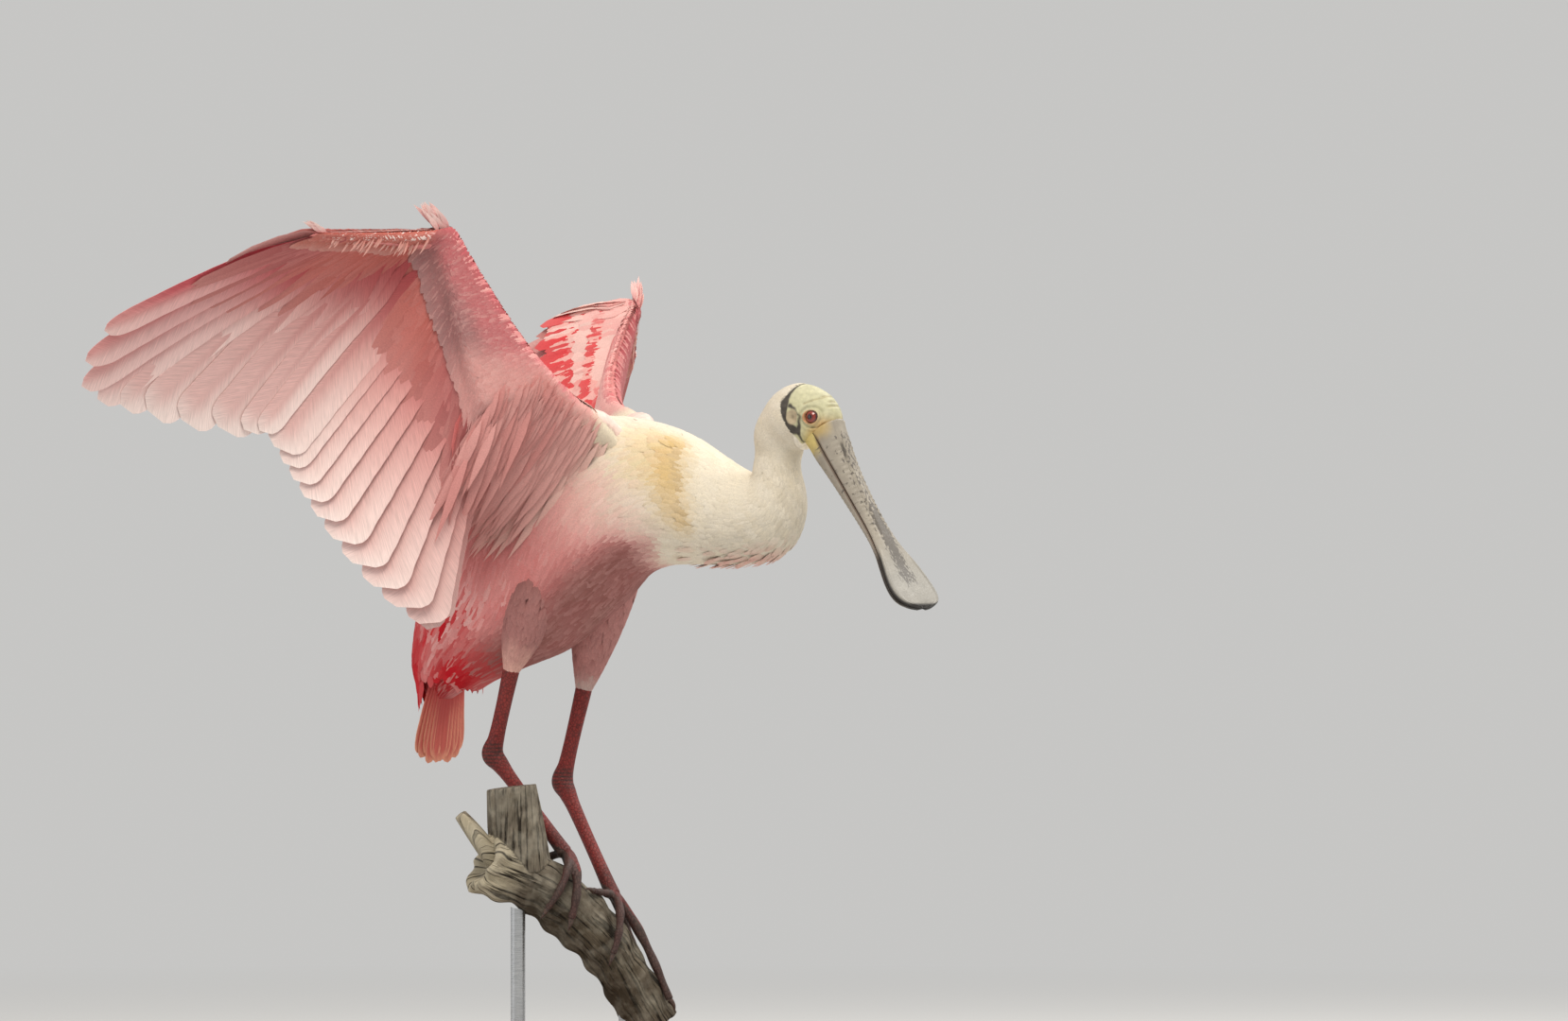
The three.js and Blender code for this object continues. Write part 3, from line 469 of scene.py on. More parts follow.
# Marks of the bare head, as [forwards, upwards, half width] from the chin
BAND = [
    [3.4, 55, 0.8], [0.2, 46.5, 1.9], [-1.6, 39.3, 4.2], [-1.0, 32.4, 3.2], [1.9, 25.1, 2.8], [6.2, 18.4, 4.2],
    [10.2, 16.2, 2.6], [13.2, 21.9, 1.1], [13.9, 28.8, 0.3], [10.4, 34.2, 0.7], [4, 37.3, 1.8],
]
CHIN_LINE = [[10.5, 14, 1.2], [12.4, 7.9, 0.5], [12.5, 0.6, 0.9]]
UNDER_EYE = [[23, 19.4, 0.1], [28.5, 19.4, 0.3], [33.6, 22.6, 0.1]]
WRINKLES = [
    [[26.5, 44.6, 0.35], [33, 45, 0.5], [40, 45.2, 0.4]],
    [[32.5, 40.2, 0.35], [38, 40.9, 0.5], [44.5, 41.4, 0.4]],
    [[33.5, 36.6, 0.35], [39, 37.5, 0.5], [46, 38.6, 0.4]],
    [[16, 38.5, 0.15], [22, 41.5, 0.25], [28, 43.4, 0.15]],
]
EAR = (7.4, 28)
EAR_SIZE = (5.2, 6.2)
EYE_PLACE = (-EYE_RISE * math.sin(math.radians(EYE_TURN)), EYE_RISE * math.cos(math.radians(EYE_TURN)))
LID_SIZE = (5.1, 4.7)
NAPE_EDGE = np.array([
    [-2, 12.0], [5, 11], [12, 7], [18, 3], [25, -0.5], [32, -3.4], [39, -5], [46, -1.2], [54, 2], [60, 4],
])


def head_fields(points):
    """Places on the head, how far out on its flank, and distances from eye and ear as shares of their size."""
    a, b, side = head_places(points)
    lid = np.hypot((a - EYE_PLACE[0]) / LID_SIZE[0], (b - EYE_PLACE[1]) / LID_SIZE[1])
    ear = np.hypot((a - EAR[0]) / EAR_SIZE[0], (b - EAR[1]) / EAR_SIZE[1])
    return a, b, ramp(4, 9, side), lid, ear


def groove(away, width):
    """1 inside a line and falling off from its edge."""
    return bell(np.maximum(away, 0), 0, width)


def head_relief(points):
    """How far the head's skin stands out or in: eyelids, the folds under the eye, forehead lines, ear."""
    a, b, flank, lid, ear = head_fields(points)
    out = 1.5 * bell(lid, 1.2, 0.2) - 4.5 * fall(0.84, 1.08, lid)
    out += 0.5 * bell(lid, 2.1, 0.25) - 0.9 * bell(lid, 1.7, 0.22)
    away = path_distance(a, b, UNDER_EYE)
    out += 0.5 * bell(away, 1.8, 0.9) - 0.8 * groove(away, 0.6)
    out += 0.9 * bell(ear, 1, 0.28) - 1.1 * bell(ear, 0, 0.5)
    out *= flank
    for line in WRINKLES:
        away = path_distance(a, b, line)
        out += 0.2 * bell(away, 1.7, 0.7) - 0.4 * groove(away, 0.6)
    return out + 0.28 * wave_noise(points, 9, 3) * ramp(-4, 4, a)


# Colours of the plumage and skin
PINK = colour("e08f8c")
PINK_DEEP = colour("d06c6c")
PINK_PALE = colour("f2bdb8")
PINK_WHITE = colour("f6dcd6")
BELLY_MAUVE_AND_SHADE = colour("8a5f58")
CARMINE = colour("d3202e")
CARMINE_DEEP = colour("b5151f")
CREAM = colour("e2d6bf")
WHITE = colour("ece3d2")
SALMON = colour("d8653f")
SKIN_GREEN = colour("c9c5a6")
SKIN_YELLOW = colour("cfa94e")
WRINKLE_SHADE = colour("8c7a52")
BLACK_SKIN = colour("34302b")
EAR_SKIN = colour("b9a98c")
LEG_RED = colour("78201c")
LEG_DARK = colour("38221d")
TOE_GREY = colour("4a4039")


def head_colour(points):
    """Colour of the bare head: greenish cream, yellow to the gape, a black band round the ear."""
    a, b, flank, lid, ear = head_fields(points)
    out = mixed(SKIN_GREEN, "bdba90", cloud(points, 16, 5))
    out = mixed(out, "cbc7a6", 0.7 * ramp(36, 50, b))
    out = mixed(out, SKIN_YELLOW, np.clip(1.1 * bell(a, 27, 9) * bell(b, 11, 8), 0, 1))
    out = mixed(out, "c08f4f", 0.8 * bell(a, 33, 8) * bell(b, 20, 7))
    out = mixed(out, "cdb65c", 0.9 * bell(a, 19, 7) * bell(b, 5, 6))
    # Painted shade: darker lines in the wrinkles' grooves and in the fold under the eye.
    for line in WRINKLES:
        out = mixed(out, WRINKLE_SHADE, 0.5 * groove(path_distance(a, b, line), 0.5))
    out = mixed(out, "6b5a3c", 0.6 * groove(path_distance(a, b, UNDER_EYE), 0.6) * flank)
    out = mixed(out, "c8743e", 0.75 * bell(lid, 1.1, 0.14) * flank)
    out = mixed(out, WHITE, fall(-1.5, 1.0, a - np.interp(b, *NAPE_EDGE.T)))
    band = path_distance(a, b, BAND) + 0.7 * wave_noise(points, 4, 11, 4)
    out = mixed(out, mixed(BLACK_SKIN, "57514a", cloud(points, 5, 14)), fall(-0.9, 0.9, band))
    out = mixed(out, EAR_SKIN, fall(0.86, 1.12, ear + 0.06 * wave_noise(points, 4, 12)) * flank)
    # Painted shade: the middle of the sunken ear opening is darker.
    out = mixed(out, "8d8068", bell(ear, 0, 0.32) * flank)
    return mixed(out, BLACK_SKIN, 0.85 * fall(-0.3, 1.0, path_distance(a, b, CHIN_LINE)))


def body_colour(points, place, down):
    """Colour of the body's coat at a place along the body; down is 0 at the back and pi at the belly. Cream
    neck and shoulders, an ochre stain at the side of the breast, pink flanks, a mauve belly that is partly
    its own colour and partly painted shade, red rump."""
    x, z = points[..., 0], points[..., 2]
    mottle = wave_noise(points, 30, 21)
    fine = wave_noise(points, 11, 22)
    flank = mixed(PINK, PINK_DEEP, ramp(-0.5, 0.8, mottle) * 0.6)
    flank = mixed(flank, PINK_PALE, 0.75 * ramp(0.1, 0.9, fine))
    # Belly: a dark mauve that is partly its own colour and partly painted shade under the body.
    belly = mixed(BELLY_MAUVE_AND_SHADE, "9c5c5a", 0.5 + 0.4 * mottle)
    out = mixed(flank, belly, ramp(1.65, 2.5, down) * ramp(1.5, 3, place))
    border = 4.9 + 1.9 * ramp(0.35, 1.3, down) + 0.9 * ramp(1.3, 2.4, down)
    wide = 0.5 + 1.0 * ramp(0.3, 0.8, down) * fall(1.7, 2.3, down)
    share = (place + 0.1 * fine + 0.2 * mottle - border) / wide
    out = mixed(out, "e9b8b0", 0.7 * ramp(-1.7, -0.2, share) * ramp(0.2, 0.6, down))
    neck = mixed(CREAM, WHITE, 0.5 + 0.5 * fine)
    out = mixed(out, neck, ramp(-0.9, 0.7, share))
    stain_x = 92 + 0.24 * np.clip(535 - z, 0, 90)
    reach = ramp(0.15, 0.6, down) * fall(1.7, 2.3, down)
    stain = bell(x, stain_x, 11) * reach
    halo = bell(x - stain_x + 16, 0, 17) * reach * fall(0.9, 1.5, down)
    out = mixed(out, "e0ca8c", np.clip(0.5 * halo + 0.1 * fine * halo, 0, 1))
    out = mixed(out, "d2a850", np.clip(0.72 * stain * (0.85 + 0.3 * mottle), 0, 1))
    # Painted shade: a thin darker ochre line for a crease in the plumage just forward of the stain.
    fold_shade = bell(x - stain_x - 5, 2 * mottle, 1.8) * reach
    out = mixed(out, "9c7a45", 0.3 * fold_shade)
    own = rng.random(place.shape)
    upper_red = fall(1.8, 3.2, place + 0.4 * mottle) * fall(1.0, 1.7, down)
    streaks = ramp(1.6, 2.4, place) * fall(2.8, 4.0, place)
    streaks = streaks * ramp(0.5, 0.9, down) * fall(1.5, 2.0, down)
    vent = ramp(1.3, 1.9, down) * fall(2.0, 3.3, place + 0.3 * mottle)
    vent = vent * (1 - 0.5 * ramp(2.5, 3, down))
    red = np.clip(np.maximum(upper_red, vent * (own < 0.75)), 0, 1)
    red = np.maximum(red, streaks * (own > 0.72))
    out = mixed(out, mixed(PINK_PALE, PINK_WHITE, 0.5 + 0.5 * fine), 0.7 * streaks * (own < 0.4))
    carmine = mixed(CARMINE, CARMINE_DEEP, 0.5 + 0.5 * mottle)
    carmine = mixed(carmine, "e0605c", 0.55 * ramp(0.0, 1, fine))
    return mixed(out, carmine, red)


# Materials
class Nodes:
    """A new principled material and short ways to add nodes to it. Constant sockets are set by their names
    with _ for a space."""

    def __init__(self, name, roughness, **sockets):
        self.mat = bpy.data.materials.new(name)
        self.mat.use_nodes = True
        self.tree = self.mat.node_tree
        self.shader = self.tree.nodes["Principled BSDF"]
        self.shader.inputs["Roughness"].default_value = roughness
        for key, value in sockets.items():
            self.shader.inputs[key.replace("_", " ")].default_value = value

    def add(self, kind, values=None, **settings):
        node = self.tree.nodes.new(kind)
        for key, value in settings.items():
            setattr(node, key, value)
        for key, value in (values or {}).items():
            if isinstance(value, bpy.types.NodeSocket):
                self.tree.links.new(value, node.inputs[key])
            else:
                node.inputs[key].default_value = (*colour(value), 1) if isinstance(value, str) else value
        return node

    def place(self, scale=(1, 1, 1), uv=None):
        """Object coordinates, or those of the UV map named uv, times scale."""
        where = self.add("ShaderNodeUVMap", uv_map=uv) if uv else self.add("ShaderNodeTexCoord")
        where = where.outputs[0 if uv else "Object"]
        return self.add("ShaderNodeMapping", {"Vector": where, "Scale": scale}).outputs[0]

    def value(self, name, output="Fac"):
        return self.add("ShaderNodeAttribute", attribute_name=name).outputs[output]

    def shaded(self, shade):
        """The mesh's own tint, made darker or lighter by shade."""
        values = {0: self.value("tint", "Color"), 3: shade}
        return self.add("ShaderNodeVectorMath", values, operation="SCALE").outputs[0]

    def noise(self, vector, scale, detail=3.0, rough=0.55):
        values = {"Vector": vector, "Scale": scale, "Detail": detail, "Roughness": rough}
        return self.add("ShaderNodeTexNoise", values).outputs["Fac"]

    def level(self, fac, low, high, to_low=0.0, to_high=1.0):
        values = {"Value": fac, "From Min": low, "From Max": high, "To Min": to_low, "To Max": to_high}
        return self.add("ShaderNodeMapRange", values).outputs["Result"]

    def math(self, what, a, b=0.0):
        return self.add("ShaderNodeMath", {0: a, 1: b}, operation=what).outputs[0]

    def mix(self, fac, a, b, kind="MIX"):
        return self.add("ShaderNodeMix", {0: fac, 6: a, 7: b}, data_type="RGBA", blend_type=kind).outputs[2]

    def base(self, socket):
        self.tree.links.new(socket, self.shader.inputs["Base Color"])

    def rough(self, socket):
        self.tree.links.new(socket, self.shader.inputs["Roughness"])

    def bump(self, height, strength, distance):
        values = {"Height": height, "Strength": strength, "Distance": distance}
        self.tree.links.new(self.add("ShaderNodeBump", values).outputs[0], self.shader.inputs["Normal"])


def feather_material(name, roughness=0.72, barbs=0.22):
    """Feather: its tint, streaked along the barbs, which run out from the shaft at a slant.
    The map named vane holds millimetres across and along each feather."""
    n = Nodes(name, roughness, Specular_IOR_Level=0.2)
    vane = n.add("ShaderNodeUVMap", uv_map="vane").outputs[0]
    across, along, _ = n.add("ShaderNodeSeparateXYZ", {0: vane}).outputs
    barb = n.math("SUBTRACT", along, n.math("MULTIPLY", n.math("ABSOLUTE", across), 1.1))
    pattern = {0: n.math("MULTIPLY", barb, 0.9), 1: n.math("MULTIPLY", across, 0.08)}
    streak = n.noise(n.add("ShaderNodeCombineXYZ", pattern).outputs[0], 1.0, 4.0, 0.65)
    n.base(n.shaded(n.level(streak, 0.3, 0.7, 1 - barbs, 1 + barbs * 0.45)))
    n.bump(streak, 0.35, 0.0004)
    return n.mat


def tuft_material(name, roughness=0.8):
    """Body feather: its tint, softly clouded."""
    n = Nodes(name, roughness, Specular_IOR_Level=0.15)
    n.base(n.shaded(n.level(n.noise(n.place(), 900.0, 2.0), 0.3, 0.7, 0.9, 1.06)))
    return n.mat


def skin_material():
    """Bare skin and what lies under the coat: tint, fine pores and creases, scutes on the legs."""
    n = Nodes("skin", 0.55, Specular_IOR_Level=0.4)
    pores = n.noise(n.place(), 1400.0, 3.0)
    blotch = n.noise(n.place(), 260.0, 4.0)
    base = n.shaded(n.level(blotch, 0.3, 0.7, 0.84, 1.12))
    leg = n.value("leg")
    where = {"Vector": n.place((1, 1, 0.7)), "Scale": 420.0}
    cells = n.add("ShaderNodeTexVoronoi", where, feature="DISTANCE_TO_EDGE")
    seam = n.level(cells.outputs["Distance"], 0.0, 0.16)
    dark = n.mix(seam, (0.45, 0.4, 0.4, 1), (1, 1, 1, 1))
    n.base(n.mix(leg, base, n.mix(1.0, base, dark, "MULTIPLY")))
    n.bump(n.math("ADD", n.math("MULTIPLY", seam, leg), n.math("MULTIPLY", pores, 0.4)), 0.5, 0.0005)
    n.rough(n.level(blotch, 0.2, 0.8, 0.45, 0.68))
    return n.mat


def bill_material():
    """Horn: tint from the shape, dark dashes where the marks number is high, fine grain.
    The map named bill holds millimetres across and along the bill."""
    n = Nodes("bill_horn", 0.5, Specular_IOR_Level=0.4)
    grain = n.noise(n.place(), 700.0, 5.0, 0.6)
    cloud = n.noise(n.place(), 90.0, 4.0)
    specks = n.noise(n.place((0.5, 0.24, 1.0), "bill"), 1.0, 3.0, 0.55)
    threshold = n.math("SUBTRACT", 0.76, n.math("MULTIPLY", n.value("marks"), 0.34))
    speck = n.level(n.math("SUBTRACT", specks, threshold), -0.02, 0.04)
    base = n.shaded(n.level(cloud, 0.3, 0.7, 0.88, 1.08))
    n.base(n.mix(n.math("MULTIPLY", speck, 0.8), base, "514b46"))
    n.bump(n.math("ADD", grain, n.math("MULTIPLY", cloud, 2.0)), 0.35, 0.0006)
    n.rough(n.level(grain, 0.3, 0.7, 0.42, 0.62))
    return n.mat


def eye_material():
    n = Nodes("eye", 0.08, Coat_Weight=1.0, Coat_Roughness=0.02, IOR=1.45)
    n.base(n.shaded(n.level(n.noise(n.place(), 1500.0), 0.3, 0.7, 0.75, 1.15)))
    return n.mat


def claw_material():
    n = Nodes("claw_horn", 0.38, Specular_IOR_Level=0.5)
    cloud = n.noise(n.place(), 500.0)
    n.base(n.mix(n.level(cloud, 0.3, 0.7), "241d1a", "5c4338"))
    n.bump(cloud, 0.3, 0.0003)
    return n.mat


def bark_material():
    """Weathered wood: tint, long grain that follows the map named grain, dark cracks and pale ribs."""
    n = Nodes("bark", 0.88, Specular_IOR_Level=0.2)
    long_grain = n.place((1.0, 0.06, 1.0), "grain")
    fibre = n.noise(long_grain, 1.4, 6.0, 0.65)
    crack = n.noise(long_grain, 0.35, 4.0, 0.5)
    cloud = n.noise(n.place(), 60.0, 5.0)
    split = n.level(crack, 0.40, 0.46)
    # Painted shade: the cracks are painted near black.
    cracked = n.mix(split, "2e2820", n.shaded(n.level(fibre, 0.3, 0.7, 0.62, 1.28)))
    n.base(n.mix(n.level(cloud, 0.45, 0.75, 0.0, 0.45), cracked, "c9c2b0"))
    n.bump(n.math("ADD", n.math("MULTIPLY", split, 1.2), fibre), 0.8, 0.0018)
    return n.mat


def wood_material():
    """Oiled dark wood of the base: rings stretched along the board."""
    n = Nodes("base_wood", 0.42, Coat_Weight=0.15, Coat_Roughness=0.3)
    grain = n.noise(n.place((1.2, 14, 6)), 6.0, 6.0, 0.6)
    fine = n.noise(n.place((8, 160, 60)), 5.0, 4.0)
    tone = n.mix(n.level(grain, 0.3, 0.7), "4a2f1d", "7b5433")
    n.base(n.mix(n.level(fine, 0.45, 0.7, 0.0, 0.5), tone, "38230f"))
    n.bump(fine, 0.2, 0.0003)
    return n.mat


def steel_material():
    n = Nodes("rod_steel", 0.3, Metallic=1.0)
    turning = n.noise(n.place((30, 30, 900)), 3.0)
    n.base(n.mix(n.level(turning, 0.3, 0.7), "a9abad", "c9cbcd"))
    n.rough(n.level(turning, 0.3, 0.7, 0.22, 0.38))
    return n.mat


FLIGHT = feather_material("flight_vane")
TAIL = feather_material("tail_vane", 0.75, 0.16)
TUFT = tuft_material("tuft")
SKIN = skin_material()
BILL_HORN = bill_material()
EYE = eye_material()
CLAW = claw_material()
BARK = bark_material()


# Slim closed vanes, made many at a time
PATCH = 0.003


def vane_faces(stations, ring):
    """Faces of one vane: a point, rings of the given number of points, and a point."""
    rings = stations - 2
    k = np.arange(ring)
    n = (k + 1) % ring
    root = np.stack([n + 1, k + 1, np.zeros(ring, int)], -1)
    base = 1 + (rings - 1) * ring
    tip = np.stack([base + k, base + n, np.full(ring, 1 + rings * ring)], -1)
    return grid_faces(rings, ring) + 1, np.concatenate([root, tip])


def tuft_mesh(spine, normal, half, thick, tints, root_place, arch=0.35):
    """Vanes with four points round each ring: left edge, top, right edge, underside.

    spine and normal are (vanes, stations, 3), half and thick (vanes, stations), tints
    (vanes, stations, 3) and root_place (vanes, 2) in the coat's map. The edges sit lower than
    the middle by arch times the half width.
    """
    count, stations = spine.shape[:2]
    along = unit(np.gradient(spine, axis=1))
    normal = square_to(normal, along)
    across = np.cross(normal, along)
    h, t = half[..., None], thick[..., None]
    left, right = (spine + sign * across * h - normal * h * arch for sign in (-1, 1))
    ring = np.stack([left, spine + normal * t, right, spine - normal * t], 2)[:, 1:-1]
    per = 2 + 4 * (stations - 2)
    points = np.concatenate([spine[:, :1], ring.reshape(count, -1, 3), spine[:, -1:]], 1)
    tint = np.repeat(tints[:, 1:-1, None], 4, 2)
    # Painted shade: the underside point of each ring is 10% darker, as if under the vane.
    tint[:, :, 3] *= 0.9
    tint = np.concatenate([tints[:, :1], tint.reshape(count, -1, 3), tints[:, -1:]], 1)
    side = np.array([0.0, 0.5, 1.0, 0.5])
    cell = np.stack(np.meshgrid(side, np.linspace(0, 1, stations)[1:-1]), -1).reshape(-1, 2)
    cell = np.concatenate([[[0.5, 0]], cell, [[0.5, 1]]])
    places = root_place[:, None] + (cell - 0.5) * PATCH
    start = (np.arange(count) * per)[:, None, None]
    faces = [(f + start).reshape(-1, f.shape[1]) for f in vane_faces(stations, 4)]
    return points.reshape(-1, 3), faces, tint.reshape(-1, 3), places.reshape(-1, 2)


TUFT_STATIONS = 6


def laid_tufts(grid, closed, u, v, du, dv, heights, width, ends, places, arch=0.12,
               shape=(0.6, 1.0, 1.0, 0.62), lift=1.0, settle=0.0, swell=None):
    """Tufts laid on a surface: each spine runs over the grid from (u, v) by (du, dv), and stands over it by
    its height times sin(pi/2 s^0.7) (1 + (lift - 1) s^2) (1 - settle s^1.5), plus the millimetres of swell.
    ends are the tints at root and tip, and shape is the width at the four rings."""
    s = np.array([0, 0.18, 0.42, 0.68, 0.9, 1.0])
    du, dv, heights, width = (np.broadcast_to(x, u.shape)[:, None] for x in (du, dv, heights, width))
    spine, normal = sample(grid, u[:, None] + du * s, v[:, None] + dv * s, closed)
    rise = heights * np.sin(math.pi / 2 * s**0.7) * (1 + (lift - 1) * s**2) * (1 - settle * s**1.5)
    if swell is not None:
        rise = rise + swell(spine) * np.minimum(3 * s, 1)
    spine = spine + normal * rise[..., None]
    half = width / 2 * np.array([0, *shape, 0])
    thick = np.minimum(half * 0.1, 0.4) + 0.05
    tints = mixed(ends[0][:, None], ends[1][:, None], s**1.6)
    return tuft_mesh(spine, normal, half, thick, tints, places, arch)


def coat_piece(name, parts):
    """One piece from several batches of tufts."""
    points, faces = joined([part[:2] for part in parts])
    tint, places = (np.concatenate([part[k] for part in parts]) for k in (2, 3))
    rings = [True] + [True, False, True, False] * (TUFT_STATIONS - 2) + [True]
    rim = np.tile(rings, len(points) // len(rings))
    maps = {"OFBake": places}
    return piece(name, points, outward(points, faces), TUFT, tint=tint, maps=maps, rim=rim)


def map_places(across, along):
    """Places in a map from shares of its two sides, a little inside its edges."""
    return np.column_stack([across, along]) * 0.98 + 0.01


# Tufts of the body: place along it, length, spacing along, spacing round, width, height over the skin
TUFT_KEYS = [
    [0, 34, 6, 4, 6.5, 5], [1.3, 36, 5.6, 3.8, 6.5, 6], [2.4, 36, 5.6, 4, 8, 7], [4.5, 32, 5, 3.9, 9.5, 8],
    [7, 25, 4.2, 3.4, 8, 7.6], [8.2, 21, 4, 3.2, 6.6, 7], [9.3, 16, 3.2, 2.6, 5, 5.6],
    [10.3, 12.5, 2.6, 2.2, 4.2, 4.2], [11, 9, 2.0, 1.8, 3.4, 2.6], [11.35, 6, 1.5, 1.5, 3, 1.3],
    [11.6, 4.4, 1.2, 1.3, 2.2, 0.8],
]


def body_tufts(grid, rows, start, end):
    """Rows of tufts from place start to end, each drawn towards the tail."""
    place, index = rows[:, 0], np.arange(len(rows))
    step = np.linalg.norm(np.gradient(grid[..., :3], axis=0), axis=-1).max(1)
    ring = np.linalg.norm(np.roll(grid[..., :3], -1, 1) - grid[..., :3], axis=-1).sum(1)
    us, vs = [], []
    u, last = (float(np.interp(at, place, index)) for at in (start, end))
    while u < last:
        _, pitch, gap, _, _ = rows_at(TUFT_KEYS, np.interp(u, index, place))
        count = max(int(np.interp(u, index, ring) / gap), 8)
        pace = pitch / step[int(u)]
        vs.append((np.arange(count) + rng.random() + rng.uniform(-0.35, 0.35, count)) / count * BODY_SIDES)
        us.append(u + rng.uniform(-0.5, 0.5, count) * pace)
        u += pace
    return np.clip(np.concatenate(us), 0, len(rows) - 2), np.concatenate(vs)


def shoulder_swell(points):
    """Millimetres by which the coat is fuller where the arms leave the body."""
    across = np.abs(points[..., 1]) - 30
    away = np.sqrt((points[..., 0] - 16) ** 2 + across**2 + (points[..., 2] - 546) ** 2)
    return 8 * bell(away, 0, 19)


def lay_body(grid, rows, start, end, keep=None):
    u, v = body_tufts(grid, rows, start, end)
    place = np.interp(u, np.arange(len(rows)), rows[:, 0])
    turn = np.mod((v + 0.5) / BODY_SIDES * 2 * math.pi + math.pi, 2 * math.pi) - math.pi
    down = np.abs(turn)
    points, _ = sample(grid, u, v, True)
    if keep is not None:
        chosen = keep(points, place, down)
        u, v, place, down, points = u[chosen], v[chosen], place[chosen], down[chosen], points[chosen]
        turn = turn[chosen]
    length, _, _, width, height = rows_at(TUFT_KEYS, place).T
    size = rng.uniform(0.85, 1.15, len(u))
    length, width = length * size, width * rng.uniform(0.85, 1.1, len(u))
    reach = np.minimum(length / 3.5, u + 0.5)
    back, _ = sample(grid, u - reach, v, True)
    beside, _ = sample(grid, u, v + 1, True)
    pace = np.maximum(np.linalg.norm(points - back, axis=-1) / reach, 0.3)
    step = np.maximum(np.linalg.norm(points - beside, axis=-1), 0.05)
    throat = ramp(2.1, 2.9, down) * ramp(8.1, 8.7, place) * fall(9.25, 9.6, place)
    loose = throat * (rng.random(len(u)) < 0.3)
    length = length * (1 + 0.35 * loose)
    flank = ramp(0.35, 0.9, down) * fall(1.7, 2.4, down)
    flank = flank * ramp(2.5, 4, place) * fall(7, 8.4, place)
    length = length * (1 + 0.3 * flank)
    slope = np.radians(24 * flank) + rng.normal(0, 0.04 + 0.05 * throat, len(u))
    du = -length * np.cos(slope) / pace
    dv = np.sign(turn) * length * np.sin(slope) / step
    tint = body_colour(points, place, down)
    shade = rng.uniform(0.96, 1.04, (len(u), 1)) * (1 - 0.11 * ramp(8.4, 9.8, place)[:, None])
    # Painted shade: a random share of dark grey on the tufts of the neck's front, for the shade between ruffled
    # feathers.
    ruffle_shade = ramp(1.1, 2.0, down) * ramp(8.6, 9.3, place) * fall(10.5, 11, place)
    tint = mixed(tint, "9a9286", 0.24 * ruffle_shade * rng.random(len(u)))
    paler = 0.25 * fall(7, 8, place) * ramp(2.5, 3.5, place)
    tip = mixed(tint, PINK_PALE, paler * rng.random(len(u)))
    tip = mixed(tip, "e0a49b", 0.9 * loose)
    places = map_places(u / len(rows), np.mod(v, BODY_SIDES) / BODY_SIDES)
    lift = (1 + 0.7 * loose)[:, None]
    neck_front = ramp(1.6, 2.6, down) * ramp(9.3, 9.7, place)
    height = height * (1 - 0.5 * neck_front)
    height = height * rng.uniform(0.98, 1.02, len(u))
    return laid_tufts(grid, True, u, v, du, dv, height, width, (tint * shade * 0.97, tip * shade), places,
                      lift=lift, settle=0.1, swell=shoulder_swell)


# Wings
def joint(wing, key):
    return np.array(wing[key], float) + [0, 0, SHOULDER_HEIGHT]


def feather_root(wing, q):
    """Root of feather q, from the outermost primary inwards: along hand, forearm, then upper arm."""
    q = np.asarray(q, float)
    hand, wrist, elbow, shoulder = (joint(wing, key) for key in ("handEnd", "wrist", "elbow", "shoulder"))
    out = mixed(hand, wrist, q / PRIMARIES * 0.97)
    middle = mixed(wrist, elbow, 0.03 + 0.97 * (q - PRIMARIES) / SECONDARIES)
    inner = mixed(elbow, shoulder, (q - PRIMARIES - SECONDARIES) / TERTIALS * 0.72)
    out = np.where((q > PRIMARIES)[..., None], middle, out)
    return np.where((q > PRIMARIES + SECONDARIES)[..., None], inner, out)


def feather_aim(wing, q):
    value = rows_at(wing["feathers"], q)
    return unit(value[..., :3]), value[..., 3]


def upper_side(wing, q):
    """Direction that the wing's upper side faces at feather q."""
    q = np.asarray(q, float)
    outer = feather_root(wing, np.clip(q - 3, 0, FEATHERS - 3))
    inner = feather_root(wing, np.minimum(q + 3, FEATHERS))
    aim, _ = feather_aim(wing, q)
    return unit(np.cross(outer - inner, aim)) * wing["side"]


def camber_at(q):
    return CAMBER_OUTER + (CAMBER - CAMBER_OUTER) * np.minimum(np.asarray(q, float) / 5, 1)


def arm_place(q):
    """Place from shoulder 0 to wrist 1 of feather q."""
    q = np.asarray(q, float)
    inner = ELBOW_AT * (1 - (q - PRIMARIES - SECONDARIES) / TERTIALS * 0.72)
    outer = ELBOW_AT + (1 - ELBOW_AT) * (PRIMARIES + SECONDARIES - q) / SECONDARIES
    return np.where(q > PRIMARIES + SECONDARIES, inner, outer)


def arm_edge(wing, s):
    s = np.asarray(s, float)
    sag = (np.sin(math.pi * np.clip(s, 0, 1)) ** 0.9)[..., None] * np.array(wing["edgeSag"], float)
    return mixed(joint(wing, "edgeStart"), joint(wing, "edgeEnd"), s) + sag


def arm_back(wing, s):
    s = np.asarray(s, float)
    shoulder, elbow, wrist = (joint(wing, key) for key in ("shoulder", "elbow", "wrist"))
    bone = np.where((s < ELBOW_AT)[..., None], mixed(shoulder, elbow, s / ELBOW_AT),
                    mixed(elbow, wrist, (s - ELBOW_AT) / (1 - ELBOW_AT)))
    q = FEATHERS - TERTIALS * np.clip(s / ELBOW_AT, 0, 1)
    q = q - SECONDARIES * np.maximum((s - ELBOW_AT) / (1 - ELBOW_AT), 0)
    return bone + 14 * feather_aim(wing, q)[0]


def arm_thick(s):
    return 15 + (7.5 - 15) * np.maximum(s, 0)


